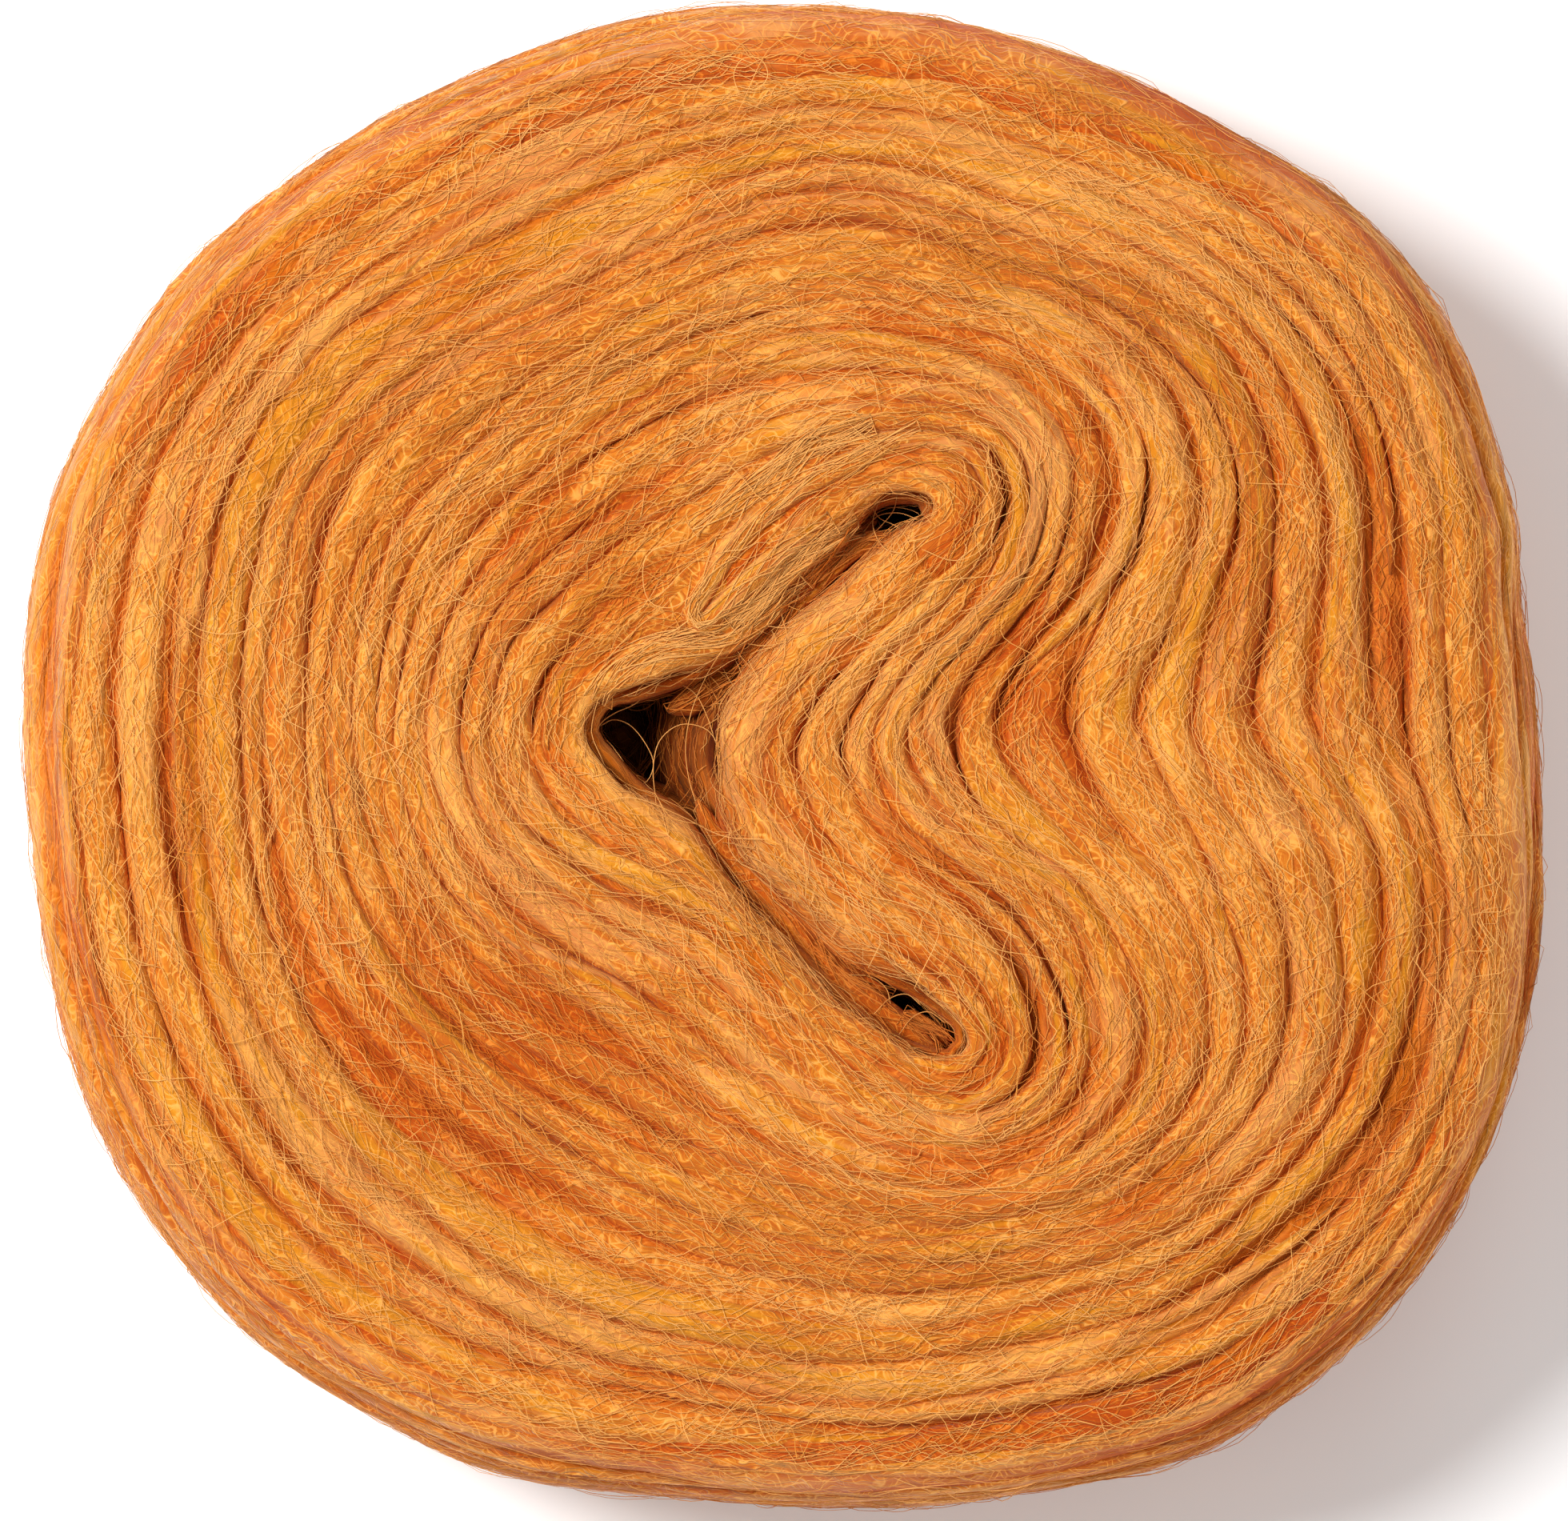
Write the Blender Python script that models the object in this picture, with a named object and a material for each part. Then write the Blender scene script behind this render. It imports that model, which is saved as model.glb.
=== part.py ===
"""Flat cake of unspun wool roving, wound without a core, its middle collapsed into a folded slit.

One closed solid: a domed face with the main bundles as ridges, rounded shoulders, a wrapped
side, a flat base and the three-lobed hollow that runs through from face to base.
Metres, +Z up, origin under the middle of the outline, on the base.
"""
import math

import bmesh
import bpy
import numpy as np

# ---------------------------------------------------------------- driving sizes
CAKE_WIDTH = 0.150           # across the outline, along X
CAKE_HEIGHT = 0.045          # base to the highest bundle
HOLLOW_LIP = 0.0048          # the face falls by this much at the edge of the hollow
LIP_REACH = 0.050            # share of the winding over which it falls
RIM_FALL = 0.0020            # the dome is this much lower where the shoulder starts
CREVICE = 0.0021             # depth of the grooves between the main bundles
SHOULDER_IN = 0.905          # share of the winding where the upper shoulder starts
SHOULDER_DROP = 0.0130       # height of the upper shoulder
HEEL_IN = 0.935              # the same at the base
HEEL_RISE = 0.0090
SIDE_GROOVE = 0.008          # how far the side draws in between wraps, as a share of the winding
SIDE_WRAPS = 4
TONGUE_BULGE = 0.0042        # the pushed-in fold leans into the hollow by this much at half height
TONGUE_NARROW = 70           # the higher, the narrower the part of the fold that leans
STEPS_PER_ROW = 3            # mesh columns for each row of PLAN

# Plan of the winding, seen from above, X to the right and Y down, in units of its own: it is
# scaled to CAKE_WIDTH. One row for each section cut from the hollow to the rim, clockwise.
LEVELS = (0.0, 0.17, 0.35, 0.52, 1.0)   # share of the winding at each pair of columns
PLAN = (
    # section         hollow wall  first bundle inner folds  last fold    outer rim
    #                  x     y      x     y      x     y      x     y      x     y
    ("left_corner",    746,  914,   626,  925,   500,  915,   388,  915,    33,  950),
    ("left_high",      762,  882,   647,  817,   522,  775,   402,  745,    50,  700),
    ("lip_start",      800,  874,   704,  752,   588,  665,   448,  615,   118,  520),
    ("lip_middle",     862,  854,   784,  688,   700,  562,   572,  490,   268,  306),
    ("lip_end",        930,  815,   876,  630,   828,  478,   745,  395,   513,  134),
    ("upper_slit_1",   979,  757,   958,  584,   950,  430,   910,  318,   800,   27),
    ("upper_slit_2",  1035,  688,  1040,  553,  1072,  418,  1070,  290,  1070,   10),
    ("upper_crown_1", 1086,  640,  1120,  540,  1190,  440,  1230,  328,  1300,   57),
    ("upper_crown_2", 1125,  629,  1185,  545,  1272,  480,  1370,  378,  1514,  151),
    ("upper_tip_1",   1154,  636,  1235,  568,  1325,  545,  1468,  452,  1693,  268),
    ("upper_tip_2",   1149,  659,  1255,  620,  1342,  620,  1522,  545,  1810,  413),
    ("upper_back_1",  1107,  678,  1235,  690,  1320,  710,  1536,  650,  1887,  630),
    ("upper_back_2",  1036,  742,  1172,  766,  1262,  790,  1518,  745,  1903,  760),
    ("tongue_high",    958,  812,  1096,  840,  1214,  852,  1496,  835,  1917,  850),
    ("tongue_tip",     889,  925,  1045,  930,  1190,  918,  1492,  912,  1925,  960),
    ("tongue_low",     906, 1020,  1068, 1010,  1215,  985,  1540, 1000,  1926, 1070),
    ("lower_back_1",   977, 1118,  1125, 1075,  1283, 1050,  1585, 1072,  1921, 1170),
    ("lower_back_2",  1063, 1194,  1205, 1135,  1352, 1108,  1608, 1160,  1905, 1275),
    ("lower_tip_1",   1137, 1240,  1262, 1205,  1404, 1190,  1612, 1255,  1872, 1397),
    ("lower_tip_2",   1192, 1283,  1288, 1300,  1425, 1290,  1590, 1345,  1800, 1545),
    ("lower_tip_3",   1182, 1309,  1262, 1362,  1395, 1378,  1530, 1425,  1680, 1688),
    ("lower_crown_1", 1134, 1297,  1190, 1392,  1303, 1452,  1420, 1508,  1510, 1807),
    ("lower_crown_2", 1083, 1264,  1110, 1362,  1182, 1482,  1270, 1558,  1300, 1860),
    ("lower_slit_1",  1036, 1224,  1035, 1312,  1050, 1455,  1100, 1572,  1090, 1879),
    ("lower_slit_2",   983, 1168,   975, 1252,   918, 1385,   930, 1530,   860, 1868),
    ("seam_1",         920, 1094,   902, 1176,   792, 1295,   760, 1455,   600, 1826),
    ("seam_2",         865, 1025,   810, 1125,   680, 1225,   602, 1350,   370, 1708),
    ("left_low_1",     806,  986,   720, 1072,   590, 1145,   490, 1240,   195, 1530),
    ("left_low_2",     770,  947,   655, 1008,   528, 1045,   415, 1095,    80, 1280),
)
# The grooves between the main bundles: share of the winding, depth as a share of CREVICE, and
# how the depth swells round the cake (share of it, times round, where the deepest part lies).
GROOVES = (
    # name            at      depth  swell  times  turn
    ("in_first",      0.085,  0.45,  0.50,  1,     0.55),
    ("first",         0.170,  1.00,  0.25,  1,     0.45),
    ("fold_1",        0.260,  0.70,  0.40,  2,     0.30),
    ("fold_2",        0.350,  0.90,  0.30,  1,     0.50),
    ("fold_3",        0.435,  0.60,  0.45,  2,     0.05),
    ("last_fold",     0.520,  1.00,  0.30,  1,     0.52),
    ("outer_1",       0.605,  0.65,  0.40,  3,     0.20),
    ("outer_2",       0.690,  0.80,  0.35,  2,     0.60),
    ("outer_3",       0.770,  0.60,  0.45,  3,     0.80),
    ("outer_4",       0.845,  0.75,  0.35,  2,     0.10),
)


# ---------------------------------------------------------------- plan of the winding
COLUMNS = np.array([row[1:] for row in PLAN], float).reshape(len(PLAN), len(LEVELS), 2)
COLUMNS[:, :, 1] *= -1.0     # Y up


def around(table, turn):
    """Smooth closed curve through the rows of a table. turn goes from 0 to 1 once round."""
    n = len(table)
    u = (np.asarray(turn, float) % 1.0) * n
    i = np.floor(u).astype(int) % n
    f = (u - np.floor(u)).reshape(u.shape + (1,) * (table.ndim - 1))
    before, here, after, beyond = (table[(i + k) % n] for k in (-1, 0, 1, 2))
    bend = 2 * before - 5 * here + 4 * after - beyond
    twist = 3 * (here - after) + beyond - before
    return here + 0.5 * f * (after - before + f * (bend + f * twist))


def across(section, share):
    """Smooth curve through the levels of each section. share goes from the hollow to the rim."""
    at = np.array(LEVELS)
    share = np.asarray(share, float)
    k = np.clip(np.searchsorted(at, share, side="right") - 1, 0, len(at) - 2)
    wide = np.diff(at)
    step = np.diff(section, axis=-2) / wide[:, None]
    slope = np.concatenate([step[..., :1, :], step], axis=-2)
    for j in range(1, len(at) - 1):
        slope[..., j, :] = (wide[j] * step[..., j - 1, :] + wide[j - 1] * step[..., j, :]) / (
            wide[j - 1] + wide[j])
    slope[..., -1, :] = step[..., -1, :]

    def pick(values, index):
        return np.take_along_axis(values, index[..., None, None].repeat(2, -1), -2)[..., 0, :]

    h = wide[k][..., None]
    f = ((share - at[k]) / wide[k])[..., None]
    a, b, da, db = pick(section, k), pick(section, k + 1), pick(slope, k), pick(slope, k + 1)
    return ((2 * f**3 - 3 * f**2 + 1) * a + (f**3 - 2 * f**2 + f) * h * da
            + (3 * f**2 - 2 * f**3) * b + (f**3 - f**2) * h * db)


TURNS = np.arange(len(PLAN) * STEPS_PER_ROW) / (len(PLAN) * STEPS_PER_ROW)
SECTIONS = around(COLUMNS, TURNS)
RIM = SECTIONS[:, -1]
MIDDLE = (RIM.max(0) + RIM.min(0)) / 2
UNIT = CAKE_WIDTH / (RIM[:, 0].max() - RIM[:, 0].min())


def plan(share):
    """Closed contour of the winding at this share of it, in metres."""
    return (across(SECTIONS, np.broadcast_to(share, TURNS.shape)) - MIDDLE) * UNIT


# ---------------------------------------------------------------- heights of the face
def ease(x):
    x = np.clip(x, 0.0, 1.0)
    return x * x * (3 - 2 * x)


def face_height(share, groove_depth):
    """Height of the face: a low dome that rolls over at the hollow, less the groove."""
    dome = CAKE_HEIGHT - RIM_FALL * np.clip((share - 0.45) / (SHOULDER_IN - 0.45), 0, 1) ** 2
    dome = dome - 0.0012 * np.clip((0.45 - share) / 0.45, 0, 1) ** 2
    lip = HOLLOW_LIP * (1 - math.sqrt(1 - max(0.0, 1 - share / LIP_REACH) ** 2))
    return dome - lip - groove_depth


def groove_depth(groove):
    """Depth of one groove round the cake, in metres."""
    _, _, depth, swell, times, turn = groove
    wave = np.cos(2 * math.pi * times * (TURNS - turn))
    return CREVICE * depth * (1 + swell * wave) / (1 + swell)


def face_rings():
    """Rings of the face, from the hollow to the shoulder: a groove, then two on each bundle."""
    rings = []
    flat = np.zeros_like(TURNS)
    for share in (0.0, 0.012, 0.032):
        rings.append((plan(share), face_height(share, flat)))
    last = 0.032
    for groove in GROOVES:
        at = groove[1]
        for part in (0.34, 0.70):
            share = last + (at - last) * part
            rings.append((plan(share), face_height(share, 0.06 * groove_depth(groove))))
        rings.append((plan(at), face_height(at, groove_depth(groove))))
        last = at
    for share in (0.865, 0.888):
        rings.append((plan(share), face_height(share, flat + 0.0001)))
    return rings


# ---------------------------------------------------------------- side, base and hollow
def side_rings():
    """Rings from the upper shoulder down the wrapped side to the heel."""
    rings = []
    top = face_height(SHOULDER_IN, 0.0)
    for part in (0.0, 0.38, 0.70, 0.92):
        turn = part * math.pi / 2
        share = SHOULDER_IN + (1 - SHOULDER_IN) * math.sin(turn)
        height = top - SHOULDER_DROP * (1 - math.cos(turn))
        rings.append((plan(share), np.full_like(TURNS, height)))
    high, low = top - SHOULDER_DROP, HEEL_RISE
    for wrap in range(SIDE_WRAPS):
        for part, inside in ((0.0, 0.0), (0.5, SIDE_GROOVE)):
            height = high + (low - high) * (wrap + part) / SIDE_WRAPS
            swell = 0.5 + 0.5 * np.cos(2 * math.pi * (3 * TURNS + 0.27 * wrap))
            share = 1.0 - inside * swell
            tilt = 0.0006 * np.sin(2 * math.pi * (TURNS + 0.31 * wrap))
            rings.append((plan(share), height + tilt))
    for part in (0.0, 0.45, 0.80):
        turn = part * math.pi / 2
        share = HEEL_IN + (1 - HEEL_IN) * math.cos(turn)
        rings.append((plan(share), np.full_like(TURNS, HEEL_RISE * (1 - math.sin(turn)))))
    return rings


def base_rings():
    """Rings of the flat base, from the heel to the hollow."""
    flat = np.zeros_like(TURNS)
    return [(plan(share), flat) for share in (HEEL_IN, 0.75, 0.52, 0.35, 0.17, 0.06)]


def hollow_rings():
    """Rings up the wall of the hollow. The pushed-in fold leans into it at half height."""
    tongue = np.clip(np.cos(2 * math.pi * (TURNS - 14.1 / len(PLAN))), 0, 1) ** TONGUE_NARROW
    rings = []
    for height in (0.0, 0.012, 0.024, 0.034):
        lean = TONGUE_BULGE * math.sin(math.pi * height / 0.040) * tongue
        wall = plan(0.0)
        wall[:, 0] -= lean
        rings.append((wall, np.full_like(TURNS, height)))
    return rings


# ---------------------------------------------------------------- the solid
def loft(name, rings):
    """Closed body through rings that return to the first one."""
    mesh = bmesh.new()
    columns = []
    for wall, height in rings:
        height = np.broadcast_to(height, TURNS.shape)
        columns.append([mesh.verts.new((float(x), float(y), float(z)))
                        for (x, y), z in zip(wall, height)])
    for a, b in zip(columns, columns[1:] + columns[:1]):
        for i in range(len(a)):
            j = (i + 1) % len(a)
            mesh.faces.new((a[i], a[j], b[j], b[i]))
    bmesh.ops.triangulate(mesh, faces=mesh.faces[:], quad_method="SHORT_EDGE")
    bmesh.ops.recalc_face_normals(mesh, faces=mesh.faces[:])
    data = bpy.data.meshes.new(name)
    mesh.to_mesh(data)
    mesh.free()
    data.shade_smooth()
    data.set_sharp_from_angle(angle=math.radians(50))
    return bpy.data.objects.new(name, data)


def wool(name, colour):
    material = bpy.data.materials.new(name)
    material.use_nodes = True
    shader = material.node_tree.nodes["Principled BSDF"]
    shader.inputs["Base Color"].default_value = (*colour, 1.0)
    shader.inputs["Roughness"].default_value = 0.92
    shader.inputs["Metallic"].default_value = 0.0
    material.diffuse_color = (*colour, 1.0)
    return material


def main():
    for thing in list(bpy.data.objects):
        bpy.data.objects.remove(thing)
    group = bpy.data.collections.new("yarn_cake")
    bpy.context.scene.collection.children.link(group)
    cake = loft("wound_cake", face_rings() + side_rings() + base_rings() + hollow_rings())
    cake.data.materials.append(wool("orange_roving", (0.745, 0.262, 0.040)))
    group.objects.link(cake)


main()
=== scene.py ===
"""Looks of the yarn cake: bundles, single turns and loose fibres of orange wool roving.

Everything follows the same plan of the winding as the solid: closed contours from the
collapsed hollow (share 0) to the outer rim (share 1). Metres, +Z up.
"""

import math

import bpy
import numpy as np
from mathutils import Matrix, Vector
from mathutils.bvhtree import BVHTree


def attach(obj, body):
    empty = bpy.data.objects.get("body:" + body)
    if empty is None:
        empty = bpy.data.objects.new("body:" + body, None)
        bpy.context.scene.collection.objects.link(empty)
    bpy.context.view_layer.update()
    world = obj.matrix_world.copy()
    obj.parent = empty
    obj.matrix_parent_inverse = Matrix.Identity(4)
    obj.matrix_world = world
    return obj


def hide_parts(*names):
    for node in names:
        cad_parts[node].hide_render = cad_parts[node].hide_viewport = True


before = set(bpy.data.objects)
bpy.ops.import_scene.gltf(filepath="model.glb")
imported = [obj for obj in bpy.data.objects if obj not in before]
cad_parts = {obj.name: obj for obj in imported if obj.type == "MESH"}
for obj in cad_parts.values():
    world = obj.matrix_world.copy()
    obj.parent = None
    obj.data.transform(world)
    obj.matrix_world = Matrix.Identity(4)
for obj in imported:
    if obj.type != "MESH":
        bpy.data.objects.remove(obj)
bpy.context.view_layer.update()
RNG = np.random.default_rng(20741)

# ---------------------------------------------------------------- sizes shared with the solid
CAKE_WIDTH = 0.150
CAKE_HEIGHT = 0.045
HOLLOW_LIP = 0.0048
LIP_REACH = 0.050
RIM_FALL = 0.0020
SHOULDER_IN = 0.905
SHOULDER_DROP = 0.0130
HEEL_IN = 0.935
HEEL_RISE = 0.0090
TONGUE_LEAN = 0.0056           # a little more than in the solid, so that the fold's wall shows
TONGUE_AT = 13.9 / 29
TONGUE_NARROW = 22
STEPS_PER_ROW = 3
LEVELS = (0.0, 0.17, 0.35, 0.52, 1.0)
PLAN = (
    # section         hollow wall  first bundle inner folds  last fold    outer rim
    #                  x     y      x     y      x     y      x     y      x     y
    ("left_corner",    746,  914,   626,  925,   500,  915,   388,  915,    33,  950),
    ("left_high",      762,  882,   647,  817,   522,  775,   402,  745,    50,  700),
    ("lip_start",      800,  874,   704,  752,   588,  665,   448,  615,   118,  520),
    ("lip_middle",     862,  854,   784,  688,   700,  562,   572,  490,   268,  306),
    ("lip_end",        930,  815,   876,  630,   828,  478,   745,  395,   513,  134),
    ("upper_slit_1",   979,  757,   958,  584,   950,  430,   910,  318,   800,   27),
    ("upper_slit_2",  1035,  688,  1040,  553,  1072,  418,  1070,  290,  1070,   10),
    ("upper_crown_1", 1086,  640,  1120,  540,  1190,  440,  1230,  328,  1300,   57),
    ("upper_crown_2", 1125,  629,  1185,  545,  1272,  480,  1370,  378,  1514,  151),
    ("upper_tip_1",   1154,  636,  1235,  568,  1325,  545,  1468,  452,  1693,  268),
    ("upper_tip_2",   1149,  659,  1255,  620,  1342,  620,  1522,  545,  1810,  413),
    ("upper_back_1",  1107,  678,  1235,  690,  1320,  710,  1536,  650,  1887,  630),
    ("upper_back_2",  1036,  742,  1172,  766,  1262,  790,  1518,  745,  1903,  760),
    ("tongue_high",    958,  812,  1096,  840,  1214,  852,  1496,  835,  1917,  850),
    ("tongue_tip",     889,  925,  1045,  930,  1190,  918,  1492,  912,  1925,  960),
    ("tongue_low",     906, 1020,  1068, 1010,  1215,  985,  1540, 1000,  1926, 1070),
    ("lower_back_1",   977, 1118,  1125, 1075,  1283, 1050,  1585, 1072,  1921, 1170),
    ("lower_back_2",  1063, 1194,  1205, 1135,  1352, 1108,  1608, 1160,  1905, 1275),
    ("lower_tip_1",   1137, 1240,  1262, 1205,  1404, 1190,  1612, 1255,  1872, 1397),
    ("lower_tip_2",   1192, 1283,  1288, 1300,  1425, 1290,  1590, 1345,  1800, 1545),
    ("lower_tip_3",   1182, 1309,  1262, 1362,  1395, 1378,  1530, 1425,  1680, 1688),
    ("lower_crown_1", 1134, 1297,  1190, 1392,  1303, 1452,  1420, 1508,  1510, 1807),
    ("lower_crown_2", 1083, 1264,  1110, 1362,  1182, 1482,  1270, 1558,  1300, 1860),
    ("lower_slit_1",  1036, 1224,  1035, 1312,  1050, 1455,  1100, 1572,  1090, 1879),
    ("lower_slit_2",   983, 1168,   975, 1252,   918, 1385,   930, 1530,   860, 1868),
    ("seam_1",         920, 1094,   902, 1176,   792, 1295,   760, 1455,   600, 1826),
    ("seam_2",         865, 1025,   810, 1125,   680, 1225,   602, 1350,   370, 1708),
    ("left_low_1",     806,  986,   720, 1072,   590, 1145,   490, 1240,   195, 1530),
    ("left_low_2",     770,  947,   655, 1008,   528, 1045,   415, 1095,    80, 1280),
)
ROW = {row[0]: k / len(PLAN) for k, row in enumerate(PLAN)}

# ---------------------------------------------------------------- the winding
# Creases between the main bundles of the face: share of the winding, usual depth from 0 (bundles
# melt into one) to 1 (open gap), then where it is deeper: section, reach (share of a turn), depth.
CREASES = (
    (0.062, 0.05, (("upper_tip_2", 0.05, 0.60),)),
    (0.113, 0.10, (("upper_tip_2", 0.07, 1.25), ("tongue_tip", 0.11, 1.10),
                   ("left_corner", 0.08, 0.95))),
    (0.172, 0.50, (("upper_tip_2", 0.12, 1.25), ("lower_tip_2", 0.12, 1.20),
                   ("tongue_tip", 0.10, 0.90), ("left_corner", 0.10, 0.80))),
    (0.232, 0.20, (("tongue_tip", 0.14, 1.15),)),
    (0.290, 0.05, (("left_corner", 0.12, 0.60),)),
    (0.350, 0.40, (("tongue_tip", 0.17, 1.25), ("lip_middle", 0.08, 0.75))),
    (0.388, 0.10, (("tongue_tip", 0.15, 1.20), ("seam_1", 0.10, 0.60))),
    (0.430, 0.35, (("tongue_tip", 0.16, 1.15), ("seam_2", 0.10, 0.70))),
    (0.474, 0.10, (("tongue_low", 0.16, 1.20), ("lip_middle", 0.09, 0.60))),
    (0.520, 0.50, (("tongue_low", 0.19, 1.20), ("upper_crown_1", 0.08, 0.75))),
    (0.578, 0.20, (("tongue_tip", 0.18, 1.10), ("left_low_1", 0.08, 0.60))),
    (0.635, 0.35, (("lower_back_1", 0.16, 1.10), ("left_high", 0.10, 0.75))),
    (0.705, 0.40, (("upper_back_1", 0.15, 1.00), ("seam_1", 0.12, 0.80))),
    (0.772, 0.35, (("tongue_low", 0.16, 0.95), ("left_low_1", 0.12, 0.80))),
    (0.842, 0.40, (("upper_tip_1", 0.14, 0.85), ("left_corner", 0.14, 0.85))),
)
# painted shade: wool is painted darker the deeper it lies under the skin, fully at this depth
CREASE_FULL = 0.95           # mm under the skin at which the wool is as dark as a crease gets
BUNDLE_SIDES = 17
SIDE_BUNDLES = 13
BASE_BUNDLES = 13
WALL_BUNDLES = 9
TURN_ARCS = 132              # single turns that lie in the tops of the face's bundles
SIDE_ARCS = 48
FACE_FIBRES = 9000
SIDE_FIBRES = 3300
WALL_FIBRES = 420
TONGUE_FIBRES = 400          # on the wall of the fold that shows in the open corner
CURLS = 270                  # long loose fibres

# Single turns listed one by one, in plan units: name, half width in mm, how far it stands proud in mm,
# then the points of its middle line.
LAID_TURNS = (
    ("fold_over", 1.15, 1.00, ((1150, 545), (1080, 575), (1010, 608), (955, 645), (912, 690),
                               (884, 735), (866, 770), (878, 782), (902, 764), (938, 728),
                               (985, 690), (1040, 655))),
    ("fold_inner", 1.00, 0.20, ((1075, 660), (1025, 688), (982, 722), (945, 760), (915, 785))),
    ("fold_outer", 1.20, 0.30, ((1090, 535), (1020, 560), (960, 600), (905, 640), (868, 668))),
    ("lip_roll", 1.50, 0.30, ((752, 880), (775, 838), (815, 812), (862, 806), (908, 800),
                              (952, 768), (1000, 722))),
)
# Strands that lie in the hollow and nearly close it, in plan units: name, half width in mm, height
# of the top in mm at the start and end, then the points of the middle line.
HOLLOW_TURNS = (
    ("low_recess", 1.45, (40.6, 39.0), ((872, 1000), (894, 1044), (922, 1080), (955, 1116), (985, 1152), (1022, 1196), (1052, 1226), (1090, 1254),
                                        (1122, 1280), (1152, 1300), (1172, 1312))),
    ("low_inner", 1.10, (39.0, 37.6), ((1020, 1172), (1052, 1204), (1082, 1228), (1112, 1246))),
    ("low_tip", 0.80, (38.0, 37.0), ((1128, 1262), (1152, 1276), (1174, 1290), (1184, 1304))),
    ("high_recess", 1.20, (41.6, 39.6), ((925, 830), (955, 800), (985, 768), (1022, 728), (1056, 696), (1086, 676), (1112, 672))),
    ("high_inner", 1.00, (38.5, 36.5), ((1010, 730), (1046, 694), (1074, 664), (1096, 652))),
    # lip_under and the deep strands fill gaps of the hollow with wool that gets painted shade; the deep ones lie
    # low so that dark wool shows there instead of the floor
    ("lip_under", 1.60, (37.4, 38.6), ((836, 890), (868, 872), (900, 850), (938, 820), (958, 798))),
    ("deep_corner", 3.20, (19.0, 17.0), ((752, 872), (766, 905), (782, 945), (806, 985), (850, 1030))),
    ("deep_upper", 2.60, (16.0, 15.0), ((772, 884), (820, 870), (880, 845), (940, 800))),
    ("deep_tip", 2.20, (22.0, 20.0), ((1060, 690), (1100, 662), (1140, 648))),
    ("deep_low", 2.20, (22.0, 20.0), ((1080, 1240), (1120, 1268), (1170, 1300))),
)
# Loose fibres listed one by one over the hollow and on the face: height over the face in mm at
# the start and end, then plan points.
LAID_CURLS = (
    ((-1.5, -2.0), ((752, 908), (768, 900), (788, 906), (806, 926), (818, 952), (812, 974), (796, 984))),
    ((0.5, -1.0), ((905, 812), (884, 846), (866, 888), (858, 932), (862, 972), (872, 1006))),
    ((0.3, -0.5), ((822, 1004), (818, 962), (826, 926), (852, 906), (884, 912), (902, 936))),
    ((0.4, 0.6), ((690, 992), (730, 1008), (790, 996), (850, 1018), (905, 1044), (960, 1048))),
    ((0.8, 0.8), ((905, 640), (860, 680), (820, 690), (806, 712), (812, 752), (840, 762), (872, 744))),
    ((0.6, 1.0), ((1150, 690), (1190, 704), (1226, 688), (1240, 650), (1222, 610), (1180, 588))),
    ((0.8, 0.5), ((1096, 632), (1090, 660), (1104, 688), (1128, 696))),
    ((1.2, 0.6), ((925, 130), (918, 104), (930, 84), (952, 86), (960, 106), (946, 122), (920, 118))),
    ((0.8, 1.2), ((210, 752), (262, 790), (318, 790), (356, 752), (392, 742))),
    ((1.0, 0.5), ((905, 1712), (950, 1736), (1000, 1716), (1006, 1676), (980, 1660))),
    ((0.8, 0.8), ((1010, 268), (1060, 250), (1104, 256), (1142, 290), (1150, 330))),
    ((0.8, 0.6), ((1370, 560), (1384, 610), (1360, 660), (1376, 700), (1420, 730))),
    ((0.8, 0.8), ((560, 640), (540, 690), (560, 740), (610, 760), (640, 742))),
    ((0.8, 0.4), ((470, 1080), (486, 1130), (460, 1170), (420, 1178))),
    ((0.2, 0.1), ((1086, 632), (1098, 650), (1118, 660), (1136, 676))),
    ((0.1, 0.2), ((1078, 668), (1096, 648), (1122, 644), (1146, 652))),
    ((0.2, 0.1), ((1120, 622), (1116, 640), (1104, 656), (1086, 674))),
    ((0.1, 0.1), ((1060, 1216), (1086, 1218), (1106, 1232), (1112, 1252))),
    ((0.2, 0.2), ((1090, 1266), (1110, 1246), (1132, 1240), (1150, 1254))),
    ((0.1, 0.2), ((1122, 1290), (1140, 1268), (1160, 1262), (1180, 1276))),
    ((0.0, -0.4), ((742, 930), (752, 906), (770, 892), (796, 880), (812, 862))),
    ((0.0, 0.1), ((838, 850), (868, 866), (884, 894), (896, 930))),
)

# ---------------------------------------------------------------- plan and skin
COLUMNS = np.array([row[1:] for row in PLAN], float).reshape(len(PLAN), len(LEVELS), 2)
COLUMNS[:, :, 1] *= -1.0


def around(table, turn):
    """Smooth closed curve through the rows of a table. turn goes from 0 to 1 once round."""
    n = len(table)
    u = (np.asarray(turn, float) % 1.0) * n
    i = np.floor(u).astype(int) % n
    f = (u - np.floor(u)).reshape(u.shape + (1,) * (table.ndim - 1))
    before, here, after, beyond = (table[(i + k) % n] for k in (-1, 0, 1, 2))
    bend = 2 * before - 5 * here + 4 * after - beyond
    twist = 3 * (here - after) + beyond - before
    return here + 0.5 * f * (after - before + f * (bend + f * twist))


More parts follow.
